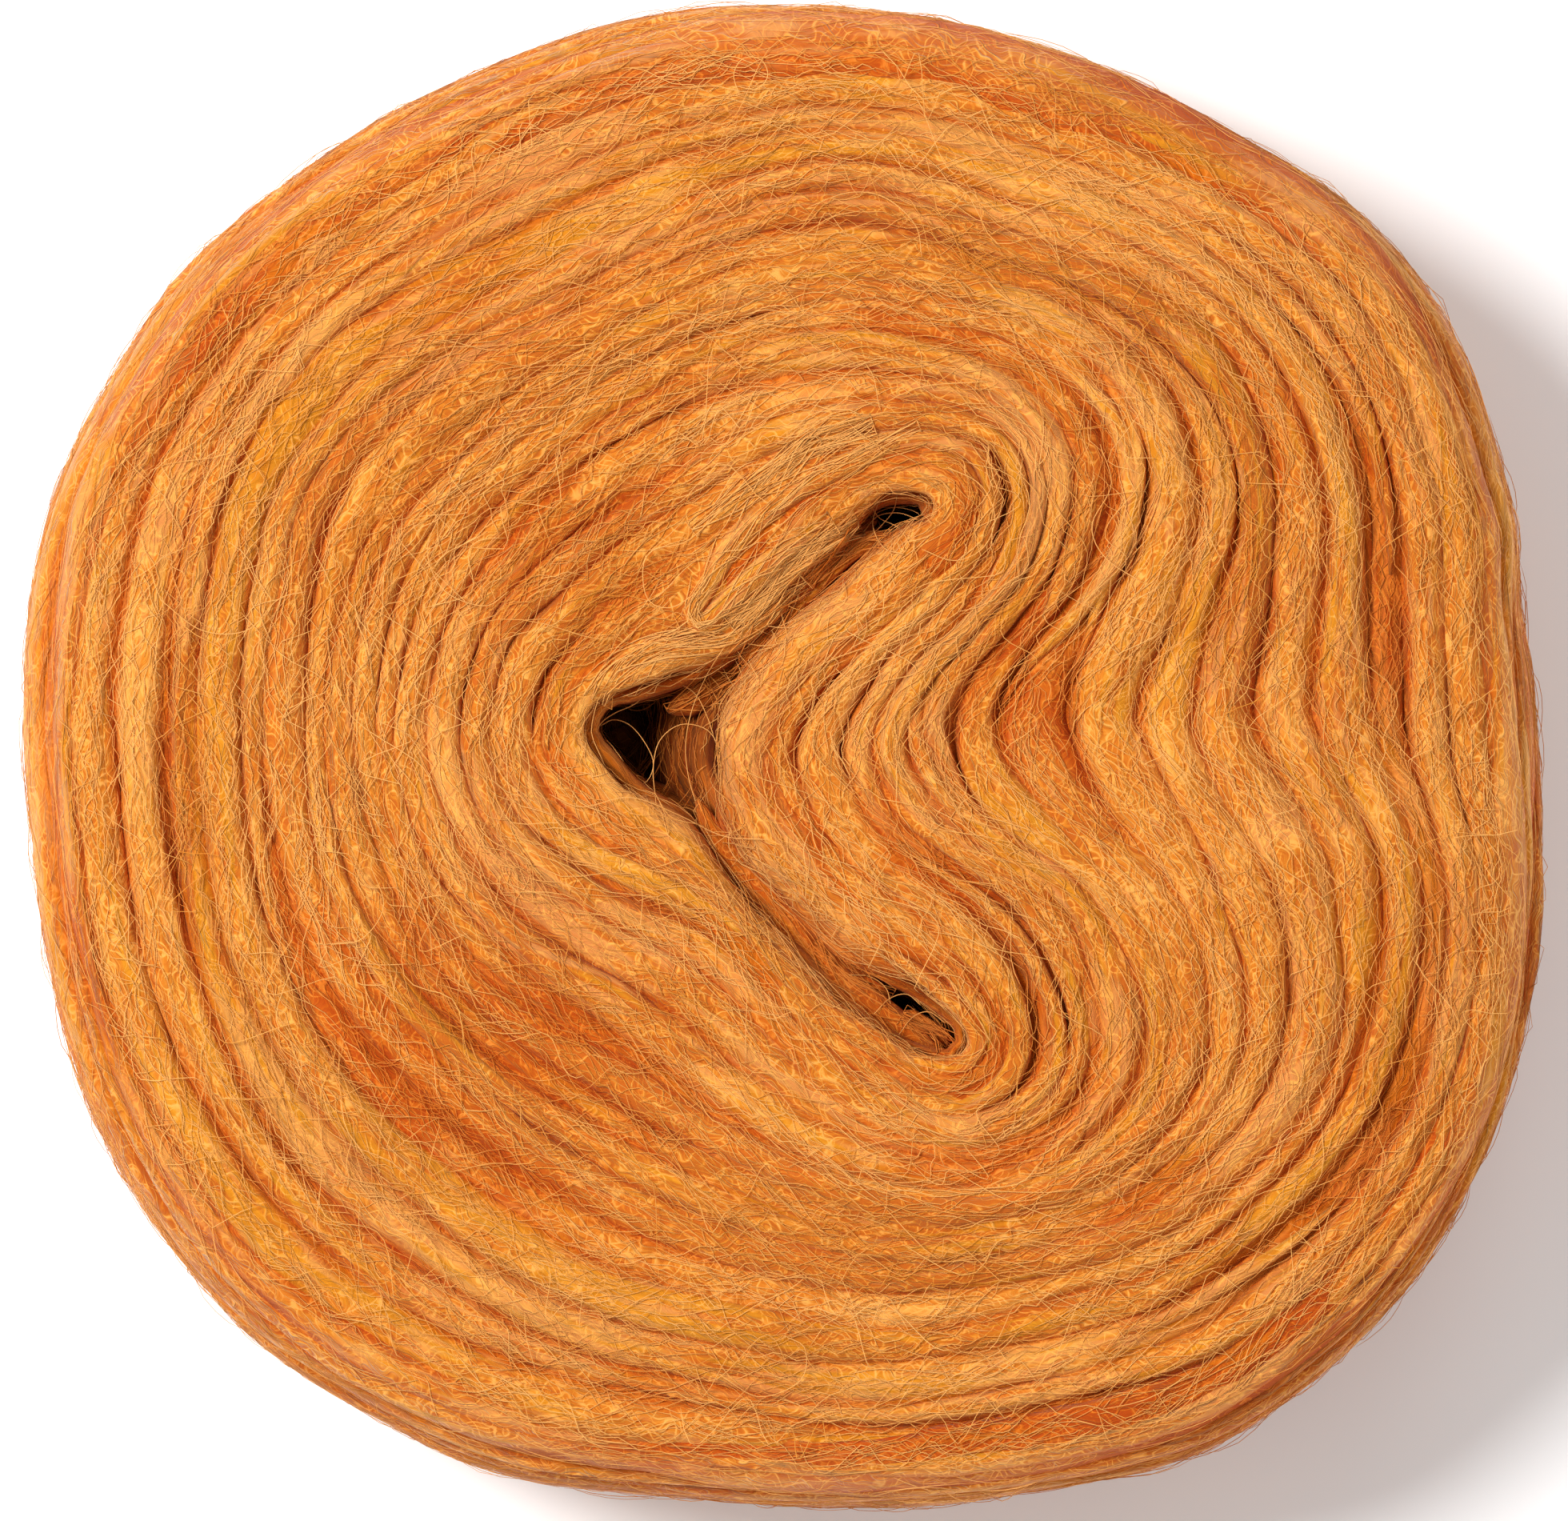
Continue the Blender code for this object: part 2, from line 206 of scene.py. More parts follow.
def across(section, share):
    """Smooth curve through the levels of each section. share goes from the hollow to the rim."""
    at = np.array(LEVELS)
    k = np.clip(np.searchsorted(at, share, side="right") - 1, 0, len(at) - 2)
    wide = np.diff(at)
    step = np.diff(section, axis=-2) / wide[:, None]
    slope = np.concatenate([step[..., :1, :], step], axis=-2)
    for j in range(1, len(at) - 1):
        slope[..., j, :] = (wide[j] * step[..., j - 1, :] + wide[j - 1] * step[..., j, :]) / (
            wide[j - 1] + wide[j])
    slope[..., -1, :] = step[..., -1, :]

    def pick(values, index):
        return np.take_along_axis(values, index[..., None, None].repeat(2, -1), -2)[..., 0, :]

    h = wide[k][..., None]
    f = ((share - at[k]) / wide[k])[..., None]
    a, b, da, db = pick(section, k), pick(section, k + 1), pick(slope, k), pick(slope, k + 1)
    return ((2 * f**3 - 3 * f**2 + 1) * a + (f**3 - 2 * f**2 + f) * h * da
            + (3 * f**2 - 2 * f**3) * b + (f**3 - f**2) * h * db)


SOLID_TURNS = np.arange(len(PLAN) * STEPS_PER_ROW) / (len(PLAN) * STEPS_PER_ROW)
RIM = around(COLUMNS, SOLID_TURNS)[:, -1]
MIDDLE = (RIM.max(0) + RIM.min(0)) / 2
UNIT = CAKE_WIDTH / (RIM[:, 0].max() - RIM[:, 0].min())


def plan(turn, share):
    """Plan position in metres; turn and share are arrays of one shape."""
    turn, share = np.broadcast_arrays(np.asarray(turn, float), np.asarray(share, float))
    return (across(around(COLUMNS, turn), share) - MIDDLE) * UNIT


def bell(turn, centre, reach):
    """1 at centre, falling smoothly to 0 at reach to either side, round the cake."""
    off = (np.asarray(turn) - centre + 0.5) % 1.0 - 0.5
    return np.where(np.abs(off) < reach, 0.5 + 0.5 * np.cos(np.pi * off / reach), 0.0)


def face_height(share):
    dome = CAKE_HEIGHT - RIM_FALL * np.clip((share - 0.45) / (SHOULDER_IN - 0.45), 0, 1) ** 2
    dome = dome - 0.0012 * np.clip((0.45 - share) / 0.45, 0, 1) ** 2
    reach = np.clip(1 - share / LIP_REACH, 0, 1)
    return dome - HOLLOW_LIP * (1 - np.sqrt(np.clip(1 - reach**2, 0, 1)))


FACE_TOP = float(face_height(np.array(SHOULDER_IN)))
LIP_HEIGHT = float(face_height(np.array(0.0)))
SHOULDER_PATH, HEEL_PATH = 0.0153, 0.0105
SIDE_PATH = SHOULDER_PATH + (FACE_TOP - SHOULDER_DROP - HEEL_RISE) + HEEL_PATH


def skin(turn, course):
    """Point of the skin. course: -1..0 up the hollow's wall, 0..1 the face, 1..2 shoulder, side
    and heel, 2..3 the base back to the hollow."""
    turn, course = np.broadcast_arrays(np.asarray(turn, float), np.asarray(course, float))
    share = np.clip(course, 0, 1) * SHOULDER_IN
    height = face_height(share)
    wall = course < 0
    height = np.where(wall, LIP_HEIGHT * (1 + np.clip(course, -1, 0)), height)
    along = (course - 1) * SIDE_PATH
    shoulder = (course > 1) & (along <= SHOULDER_PATH)
    a = np.clip(along / SHOULDER_PATH, 0, 1) * math.pi / 2
    share = np.where(shoulder, SHOULDER_IN + (1 - SHOULDER_IN) * np.sin(a), share)
    height = np.where(shoulder, FACE_TOP - SHOULDER_DROP * (1 - np.cos(a)), height)
    side = (along > SHOULDER_PATH) & (along <= SIDE_PATH - HEEL_PATH)
    share = np.where(side, 1.0, share)
    height = np.where(side, FACE_TOP - SHOULDER_DROP - (along - SHOULDER_PATH), height)
    heel = (along > SIDE_PATH - HEEL_PATH) & (course <= 2)
    a = np.clip((along - SIDE_PATH + HEEL_PATH) / HEEL_PATH, 0, 1) * math.pi / 2
    share = np.where(heel, HEEL_IN + (1 - HEEL_IN) * np.cos(a), share)
    height = np.where(heel, HEEL_RISE * (1 - np.sin(a)), height)
    base = course > 2
    share = np.where(base, HEEL_IN * (3 - course), share)
    height = np.where(base, 0.0, height)
    place = plan(turn, share)
    tongue = np.clip(np.cos(2 * math.pi * (turn - TONGUE_AT)), 0, 1) ** TONGUE_NARROW
    up = LIP_HEIGHT * (1 + np.clip(course, -1, 0))
    lean = np.where(wall, TONGUE_LEAN * np.sin(math.pi * np.clip(up / LIP_HEIGHT, 0, 1)) ** 0.8, 0)
    return np.stack([place[..., 0] - lean * tongue, place[..., 1], height], -1)


def unit(v):
    return v / np.maximum(np.linalg.norm(v, axis=-1, keepdims=True), 1e-12)


def skin_frame(turn, course):
    """Point, direction round the cake, direction across and outward normal of the skin."""
    e = 0.0006
    round_ = skin(turn + e, course) - skin(turn - e, course)
    over = skin(turn, course + e) - skin(turn, course - e)
    return skin(turn, course), round_ / (2 * e), over / (2 * e), unit(np.cross(unit(round_), unit(over)))


def across_width(turn, course):
    """Metres across the skin for each unit of course."""
    return np.linalg.norm(skin_frame(turn, course)[2], axis=-1)


# ---------------------------------------------------------------- smooth noise
def noise_curve(n, waves, rng, closed=True):
    """Smooth random curve of n samples with about this many waves, standard deviation 1."""
    x = np.arange(n) / n
    out = np.zeros(n)
    for k in range(1, max(2, int(waves * 2)) + 1):
        size = math.exp(-((k / waves) ** 2))
        out += size * rng.normal() * np.cos(2 * np.pi * k * (1 if closed else 0.93) * x
                                            + rng.uniform(0, 2 * np.pi))
    return out / max(out.std(), 1e-9)


def noise_sheet(n, m, reach_n, reach_m, rng):
    """Smooth random sheet, closed both ways, with these reaches in samples, deviation 1."""
    raw = np.fft.fft2(rng.normal(size=(n, m)))
    fn = np.fft.fftfreq(n)[:, None]
    fm = np.fft.fftfreq(m)[None, :]
    raw *= np.exp(-2 * (np.pi * fn * reach_n) ** 2 - 2 * (np.pi * fm * reach_m) ** 2)
    out = np.real(np.fft.ifft2(raw))
    return out / max(out.std(), 1e-9)


# The heather of the wool: tone, yellow to red and pale, in patches drawn out along the winding.
HEATHER_SHEET = np.stack([
    0.65 * noise_sheet(1024, 512, 8.0, 1.1, RNG) + 1.1 * noise_sheet(1024, 512, 30.0, 3.2, RNG),
    0.70 * noise_sheet(1024, 512, 12.0, 1.3, RNG) + 0.6 * noise_sheet(1024, 512, 40.0, 6.0, RNG),
    0.65 * noise_sheet(1024, 512, 9.0, 1.2, RNG) + 0.7 * noise_sheet(1024, 512, 36.0, 9.0, RNG)], -1)


def heather_at(turn, course):
    u = (np.asarray(turn) % 1.0) * 1024
    v = np.clip((np.asarray(course) + 1) / 4, 0, 0.999) * 512
    i, j = np.floor(u).astype(int) % 1024, np.floor(v).astype(int) % 512
    f, g = (u - np.floor(u))[..., None], (v - np.floor(v))[..., None]
    i2, j2 = (i + 1) % 1024, (j + 1) % 512
    s = HEATHER_SHEET
    return ((s[i, j] * (1 - f) + s[i2, j] * f) * (1 - g) + (s[i, j2] * (1 - f) + s[i2, j2] * f) * g)


# ---------------------------------------------------------------- meshes of many tubes
def girth(sides):
    """Angles round a bundle, 90 degrees up: close together over the top, wide apart below."""
    if sides <= 4:
        return 2 * np.pi * np.arange(sides) / sides - np.pi / 2
    return np.radians(np.concatenate([[-90.0], np.linspace(-22.0, 202.0, sides - 1)]))


class Heap:
    """Collects tubes into one mesh, with a map along the wool and its heather."""

    def __init__(self, name, cells):
        self.name, self.cells = name, cells
        self.verts, self.quads, self.tris = [], [], []
        self.uv_quads, self.uv_tris, self.bake_quads, self.bake_tris = [], [], [], []
        self.heather, self.shade = [], []
        self.count = 0
        self.made = 0

    def cell(self):
        """Corner and size of this tube's own cell of the bake map."""
        cols, rows = self.cells
        i = self.made % (cols * rows)
        self.made += 1
        return (i % cols) / cols, (i // cols) / rows, 1 / cols, 1 / rows

    def add(self, path, up, left, right, high, sides, closed, lumps, heather, start_u, square=1.0,
            shade=0.0, crown=1.0):
        """One tube along path. left, right and high are half sizes to the two sides of the middle
        line and upwards; lumps swell the tube, point by point. shade is the painted shade in its colour:
        0 in the open, 1 down in a crease and 2 deep in the hollow. A crown over 1 makes the top less flat."""
        n = len(path)
        if closed:
            tangent = np.roll(path, -1, 0) - np.roll(path, 1, 0)
        else:
            tangent = np.gradient(path, axis=0)
        tangent = unit(tangent)
        over = unit(np.cross(tangent, up))
        up = np.cross(over, tangent)
        phi = girth(sides)
        cx = np.sign(np.cos(phi)) * np.abs(np.cos(phi)) ** square
        cy = np.sign(np.sin(phi)) * np.abs(np.sin(phi)) ** np.where(np.sin(phi) > 0, crown, square)
        swell = 1 + lumps
        half = np.where(cx[None, :] > 0, left[:, None], right[:, None])
        ring = (path[:, None, :]
                + over[:, None, :] * (half * swell * cx[None, :])[..., None]
                + up[:, None, :] * (high[:, None] * swell * cy[None, :])[..., None])
        base = self.count
        self.verts.append(ring.reshape(-1, 3))
        self.heather.append(np.broadcast_to(heather, (n, sides, 3)).reshape(-1, 3))
        self.shade.append(np.broadcast_to(shade, (n, sides)).reshape(-1))
        self.count += n * sides
        steps = n if closed else n - 1
        i = np.arange(steps)[:, None]
        j = (i + 1) % n
        k = np.arange(sides)[None, :]
        k2 = (k + 1) % sides
        quads = np.stack([base + i * sides + k, base + j * sides + k,
                          base + j * sides + k2, base + i * sides + k2], -1)
        self.quads.append(quads.reshape(-1, 4))
        seg = np.linalg.norm(np.roll(path, -1, 0) - path, axis=1)
        u = np.concatenate([[0], np.cumsum(seg)])[: n + 1] + start_u
        angle = np.concatenate([phi, [phi[0] + 2 * np.pi]]) - phi[0]
        v = angle * float(np.mean(left + right + 2 * high)) / 4
        ui = u[np.arange(steps)][:, None]
        uj = u[np.arange(steps) + 1][:, None]
        uv = np.empty((steps, sides, 4, 2))
        uv[..., 0, 0] = uv[..., 3, 0] = ui
        uv[..., 1, 0] = uv[..., 2, 0] = uj
        uv[..., 0, 1] = uv[..., 1, 1] = v[None, :-1]
        uv[..., 2, 1] = uv[..., 3, 1] = v[None, 1:]
        self.uv_quads.append(uv.reshape(-1, 2) * 1000.0)
        x0, y0, w, h = self.cell()
        bi, bj = np.arange(steps)[:, None] / steps, (np.arange(steps)[:, None] + 1) / steps
        bake = np.empty((steps, sides, 4, 2))
        bv = angle / (2 * np.pi)
        bake[..., 0, 0] = bake[..., 3, 0] = bi
        bake[..., 1, 0] = bake[..., 2, 0] = bj
        bake[..., 0, 1] = bake[..., 1, 1] = bv[None, :-1]
        bake[..., 2, 1] = bake[..., 3, 1] = bv[None, 1:]
        bake = bake.reshape(-1, 2) * np.array([w, h]) * 0.94
        self.bake_quads.append(bake + np.array([x0 + 0.03 * w, y0 + 0.03 * h]))
        if not closed:
            for end, first in ((0, base), (n - 1, base + (n - 1) * sides)):
                ids = first + np.arange(sides)
                fan = np.stack([np.full(sides - 2, ids[0]), ids[1:-1], ids[2:]], -1)
                if end:
                    fan = fan[:, ::-1]
                self.tris.append(fan)
                uvt = np.empty((sides - 2, 3, 2))
                uvt[..., 0] = u[end]
                uvt[..., 1] = v[:1]
                self.uv_tris.append(uvt.reshape(-1, 2) * 1000.0)
                at = np.array([x0 + w * (0.03 if end == 0 else 0.95), y0 + 0.5 * h])
                spread = np.array([[0, 0], [0.02 * w, 0], [0, 0.02 * h]])
                self.bake_tris.append(np.tile(at + spread, (sides - 2, 1)))

    def build(self, material, smooth=True):
        verts = np.concatenate(self.verts)
        verts[:, 2] = np.maximum(verts[:, 2], 0.0)
        quads = np.concatenate(self.quads)
        tris = np.concatenate(self.tris) if self.tris else np.zeros((0, 3), int)
        mesh = bpy.data.meshes.new(self.name)
        loops = np.concatenate([quads.ravel(), tris.ravel()])
        starts = np.concatenate([np.arange(len(quads)) * 4,
                                 len(quads) * 4 + np.arange(len(tris)) * 3])
        mesh.vertices.add(len(verts))
        mesh.vertices.foreach_set("co", verts.astype(np.float32).ravel())
        mesh.loops.add(len(loops))
        mesh.loops.foreach_set("vertex_index", loops.astype(np.int32))
        mesh.polygons.add(len(starts))
        mesh.polygons.foreach_set("loop_start", starts.astype(np.int32))
        mesh.update(calc_edges=True)
        for name, q, t in (("wool", self.uv_quads, self.uv_tris),
                           ("OFBake", self.bake_quads, self.bake_tris)):
            layer = mesh.uv_layers.new(name=name)
            layer.uv.foreach_set("vector", np.concatenate(q + t).astype(np.float32).ravel())
        mesh.uv_layers["wool"].active_render = True
        heather = mesh.attributes.new("heather", "FLOAT_VECTOR", "POINT")
        heather.data.foreach_set("vector", np.concatenate(self.heather).astype(np.float32).ravel())
        shade = mesh.attributes.new("shade", "FLOAT", "POINT")
        shade.data.foreach_set("value", np.concatenate(self.shade).astype(np.float32))
        if smooth:
            mesh.shade_smooth()
        mesh.validate()
        obj = bpy.data.objects.new(self.name, mesh)
        obj.data.materials.append(material)
        bpy.context.scene.collection.objects.link(obj)
        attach(obj, "root")
        print(self.name, len(quads) * 2 + len(tris), "triangles")
        return obj


# ---------------------------------------------------------------- materials
def wool_material(name, lift, streaks, fuzz, bump, sheen, haze, light, tint):
    """Heathered wool. The base colour runs along the wool and is broken up by fine streaks and by
    the thin curly lines of its fuzz. lift lightens it up to the light colour; the heather
    attribute shifts it towards yellow, red or pale, as far as tint lets it. The shade attribute
    then darkens it with painted shade, in creases and more deeply in the hollow, and turns its sheen down."""
    mat = bpy.data.materials.new(name)
    mat.use_nodes = True
    nt = mat.node_tree
    nodes, links = nt.nodes, nt.links
    bsdf = nodes["Principled BSDF"]
    uv = nodes.new("ShaderNodeUVMap")
    uv.uv_map = "wool"
    attr = nodes.new("ShaderNodeAttribute")
    attr.attribute_name = "heather"
    parts = nodes.new("ShaderNodeSeparateXYZ")
    links.new(attr.outputs["Vector"], parts.inputs[0])
    shade = nodes.new("ShaderNodeAttribute")
    shade.attribute_name = "shade"

    def noise(scale_u, scale_v, detail, rough, shift, shear=0.0, source=None, give="Fac"):
        mapping = nodes.new("ShaderNodeMapping")
        mapping.inputs["Location"].default_value = (shift, shift * 0.7, 0)
        mapping.inputs["Rotation"].default_value = (0, 0, shear)
        links.new(source or uv.outputs["UV"], mapping.inputs["Vector"])
        scale = nodes.new("ShaderNodeVectorMath")
        scale.operation = "MULTIPLY"
        scale.inputs[1].default_value = (1 / scale_u, 1 / scale_v, 1)
        links.new(mapping.outputs["Vector"], scale.inputs[0])
        tex = nodes.new("ShaderNodeTexNoise")
        tex.noise_dimensions = "2D"
        tex.inputs["Scale"].default_value = 1.0
        tex.inputs["Detail"].default_value = detail
        tex.inputs["Roughness"].default_value = rough
        links.new(scale.outputs[0], tex.inputs["Vector"])
        return tex.outputs[give]

    def vectors(op, a, b):
        node = nodes.new("ShaderNodeVectorMath")
        node.operation = op
        for socket, x in zip(node.inputs, (a, b)):
            if isinstance(x, tuple):
                socket.default_value = x
            else:
                links.new(x, socket)
        return node.outputs[0]

    def waved(scale_u, scale_v, shift, reach):
        """The map along the wool, pushed aside in soft waves of about this reach in mm."""
        off = vectors("SUBTRACT", noise(scale_u, scale_v, 0.0, 0.5, shift, give="Color"), (0.5, 0.5, 0.5))
        return vectors("ADD", uv.outputs["UV"], vectors("MULTIPLY", off, (0.8 * reach, reach, 0.0)))

    def maths(op, a, b):
        node = nodes.new("ShaderNodeMath")
        node.operation = op
        for socket, x in zip(node.inputs, (a, b)):
            if isinstance(x, (int, float)):
                socket.default_value = x
            else:
                links.new(x, socket)
        return node.outputs[0]

    def mix(fac, a, b, blend="MIX"):
        node = nodes.new("ShaderNodeMix")
        node.data_type = "RGBA"
        node.blend_type = blend
        links.new(fac, node.inputs[0])
        for socket, x in ((node.inputs[6], a), (node.inputs[7], b)):
            if isinstance(x, tuple):
                socket.default_value = x
            else:
                links.new(x, socket)
        return node.outputs[2]

    def ramp(value, low, high, top=1.0):
        node = nodes.new("ShaderNodeMapRange")
        node.interpolation_type = "SMOOTHSTEP"
        node.inputs["From Min"].default_value = low
        node.inputs["From Max"].default_value = high
        node.inputs["To Max"].default_value = top
        links.new(value, node.inputs["Value"])
        return node.outputs["Result"]

    def lines(apart, shift, turned, source):
        """Thin wavy lines about this many mm apart that fade in and out: 1 on a line, 0 between."""
        mapping = nodes.new("ShaderNodeMapping")
        mapping.inputs["Location"].default_value = (shift, shift * 0.7, 0)
        mapping.inputs["Rotation"].default_value = (0, 0, turned)
        links.new(source, mapping.inputs["Vector"])
        split = nodes.new("ShaderNodeSeparateXYZ")
        links.new(mapping.outputs["Vector"], split.inputs[0])
        off = maths("FRACT", maths("DIVIDE", split.outputs["Y"], apart), 0.0)
        off = maths("ABSOLUTE", maths("SUBTRACT", off, 0.5), 0.0)
        node = nodes.new("ShaderNodeMapRange")
        node.inputs["From Max"].default_value = 0.20
        node.inputs["To Min"].default_value = 1.0
        node.inputs["To Max"].default_value = 0.0
        links.new(off, node.inputs["Value"])
        shown = ramp(noise(3.4, 0.36, 0.0, 0.5, shift + 9.0, turned, source), 0.38, 0.60)
        return maths("MULTIPLY", node.outputs["Result"], shown)

    wave_a, wave_b = waved(2.2, 1.0, 5.0, 1.3), waved(2.0, 1.2, 29.0, 1.6)
    fine = noise(2.8, 0.14, 2.0, 0.6, 37.0, 0.06, wave_a)
    along = lines(0.43, 23.0, 0.08, wave_a)
    curly = maths("MAXIMUM", maths("MULTIPLY", along, 0.85),
                  maths("MAXIMUM", lines(0.52, 47.0, -0.42, wave_b),
                        maths("MULTIPLY", lines(0.57, 83.0, 0.50, wave_b), 0.9)))
    hair = maths("ADD", maths("MULTIPLY", fine, 0.6), maths("MULTIPLY", along, 0.4))
    patches = noise(9.0, 1.3, 1.0, 0.5, 11.0)
    tone = maths("ADD", maths("MULTIPLY", parts.outputs["X"], 0.07), maths("MULTIPLY", patches, 0.50))
    tone = maths("ADD", tone, maths("MULTIPLY", maths("SUBTRACT", fine, 0.5), streaks))
    tone = maths("ADD", tone, maths("MULTIPLY", curly, fuzz))
    tone = maths("ADD", tone, lift + 0.37 - 0.42 * fuzz)
    colour = mix(ramp(tone, 0.20, 0.58), DEEP, MID)
    golden = maths("ADD", noise(14.0, 0.9, 1.0, 0.5, 53.0), maths("MULTIPLY", parts.outputs["Y"], 0.13))
    colour = mix(ramp(golden, 0.56, 0.80, 0.52 * tint), colour, GOLD)
    reddish = maths("SUBTRACT", noise(12.0, 0.8, 1.0, 0.5, 91.0), maths("MULTIPLY", parts.outputs["Y"], 0.13))
    colour = mix(ramp(reddish, 0.58, 0.84, 0.22 * tint), colour, RED)
    paler = maths("ADD", noise(7.0, 0.6, 1.0, 0.5, 17.0), maths("MULTIPLY", parts.outputs["Z"], 0.13))
    colour = mix(ramp(paler, 0.54, 0.80, 0.45 * tint), colour, PALE)
    colour = mix(ramp(tone, 0.46, 1.04), colour, light)
    # painted shade: the shade attribute multiplies the colour by the crease shade tint, and past 1 by the darker
    # hollow shade tint
    colour = mix(ramp(shade.outputs["Fac"], 0.0, 1.0), colour, CREASE_SHADE_TINT, "MULTIPLY")
    colour = mix(ramp(shade.outputs["Fac"], 1.0, 2.0), colour, HOLLOW_SHADE_TINT, "MULTIPLY")
    links.new(colour, bsdf.inputs["Base Color"])

    if bump:
        node = nodes.new("ShaderNodeBump")
        node.inputs["Strength"].default_value = bump
        node.inputs["Distance"].default_value = 0.00022
        links.new(hair, node.inputs["Height"])
        links.new(node.outputs["Normal"], bsdf.inputs["Normal"])
    rough = nodes.new("ShaderNodeMapRange")
    rough.inputs["To Min"].default_value = 0.84
    rough.inputs["To Max"].default_value = 1.0
    links.new(hair, rough.inputs["Value"])
    links.new(rough.outputs["Result"], bsdf.inputs["Roughness"])
    bsdf.inputs["Specular IOR Level"].default_value = 0.12
    # the sheen is turned down where the shade attribute paints shade
    haze_in = nodes.new("ShaderNodeMapRange")
    haze_in.inputs["From Max"].default_value = 1.3
    haze_in.inputs["To Min"].default_value = sheen
    haze_in.inputs["To Max"].default_value = 0.02
    links.new(shade.outputs["Fac"], haze_in.inputs["Value"])
    links.new(haze_in.outputs["Result"], bsdf.inputs["Sheen Weight"])
    bsdf.inputs["Sheen Roughness"].default_value = 0.5
    bsdf.inputs["Sheen Tint"].default_value = haze
    return mat


DEEP = (0.440, 0.098, 0.007, 1)
MID = (0.570, 0.176, 0.012, 1)
LIGHT = (0.765, 0.335, 0.066, 1)
GOLD = (0.610, 0.252, 0.006, 1)
RED = (0.565, 0.110, 0.009, 1)
PALE = (0.660, 0.300, 0.092, 1)
# painted shade tints: redder and darker down in creases, dark brown deep in the hollow
CREASE_SHADE_TINT = (0.860, 0.540, 0.270, 1)
HOLLOW_SHADE_TINT = (0.200, 0.120, 0.080, 1)
# painted light: the loose fibres' pale colour is the wool's own colour made lighter, standing in for light
# shining through thin fibres
FIBRE_PAINTED_LIGHT = (0.770, 0.375, 0.105, 1)
WARM_HAZE = (1.0, 0.76, 0.42, 1)
RIM_HAZE = (1.0, 0.92, 0.80, 1)
ROVING = wool_material("roving", 0.0, 1.10, 0.66, 1.0, 0.18, WARM_HAZE, LIGHT, 1.0)
OUTER = wool_material("outer_turns", 0.0, 1.10, 0.66, 1.0, 0.28, RIM_HAZE, LIGHT, 1.0)
# the fibres' lift of 0.20 is painted light on the wool's own colour
FIBRE = wool_material("loose_fibre", 0.20, 0.3, 0.0, 0.0, 0.15, WARM_HAZE, FIBRE_PAINTED_LIGHT, 0.45)
# the core's wool is the roving painted darker, lift -0.20 and little sheen: painted shade, as it only shows at
# the bottom of gaps and in the hollow
CORE = wool_material("inner_turns_in_shade", -0.20, 0.8, 0.2, 0.6, 0.08, WARM_HAZE, LIGHT, 1.0)


# ---------------------------------------------------------------- strands on the skin
def even_turns(course, n, start, end, samples=900):
    """Turns from start to end at equal distances along the skin at this course."""
    t = np.linspace(start, end, samples)
    p = skin(t, np.full(samples, float(course)))
    d = np.concatenate([[0], np.cumsum(np.linalg.norm(np.diff(p, axis=0), axis=1))])
    return np.interp(np.linspace(0, d[-1], n), d, t)


def crease_shade(depth_mm):
    """Painted shade of wool that lies this far under the skin: darker the deeper in a crease."""
    return np.clip((depth_mm - 0.20) / CREASE_FULL, 0, 1)


def hollow_shade(height):
    """Extra painted shade of wool down in the hollow, from its height over the base in metres."""
    below = LIP_HEIGHT - height
    return 1.60 * np.clip(below / 0.0024, 0, 1) + 0.40 * np.clip((below - 0.012) / 0.008, 0, 1)


def lay_strand(heap, turn, course, left, right, high, sink, sides, closed, rng, lump=0.05,
               square=0.85, own=0.35, crown=1.0, fade=1.0):
    """A strand on the skin. left is its half width towards the hollow, right towards the rim;
    sink is how far its middle lies below the skin (arrays or numbers, metres). fade is how much
    of its own tint each point keeps. Its colour gets painted shade by how far each point lies
    under the skin, and more on the wall of the hollow."""
    here, _, _, normal = skin_frame(turn, course)
    n = len(turn)
    sink = np.broadcast_to(sink, n)
    path = here - normal * sink[:, None]
    step = float(np.mean(np.linalg.norm(np.diff(path, axis=0), axis=1)))
    lumps = lump * (0.9 * noise_sheet(n, sides, 0.0060 / step, 0.55, rng)
                    + 0.6 * noise_sheet(n, sides, 0.0016 / step, 0.6, rng))
    heather = heather_at(turn, course)[:, None, :]
    patch = np.stack([noise_sheet(n, sides, 0.006 / step, 0.8, rng) for _ in range(3)], -1)
    heather = heather + own * rng.normal(size=3) * np.broadcast_to(fade, n)[:, None, None] + 0.4 * patch
    left, right, high = (np.broadcast_to(x, n).astype(float) for x in (left, right, high))
    upward = np.sin(girth(sides))[None, :]
    top = np.sign(upward) * np.abs(upward) ** np.where(upward > 0, crown, square)
    # painted shade from how deep each point lies under the skin, plus the hollow's painted shade on its wall
    shade = crease_shade((sink[:, None] - high[:, None] * top * (1 + lumps)) * 1000)
    wall = (np.asarray(course) < 0) & (np.asarray(course) > -1)
    shade = shade + hollow_shade(path[:, 2])[:, None] * wall[:, None]
    heap.add(path, normal, left, right, high, sides, closed, lumps, heather,
             rng.uniform(0, 40.0), square, np.clip(shade, 0, 2), crown)


# bundles of the face -------------------------------------------------
GRID = 720
GRID_TURNS = np.arange(GRID) / GRID


def calm(turn):
    """How strongly the creases show round the cake: less where the turns lie smooth."""
    rows = len(PLAN)
    calmer = 0.62 * bell(turn, 4.8 / rows, 0.18) + 0.32 * bell(turn, 22.8 / rows, 0.13)
    return 1 - calmer + 0.25 * bell(turn, 14 / rows, 0.20) + 0.35 * bell(turn, 28.6 / rows, 0.11)


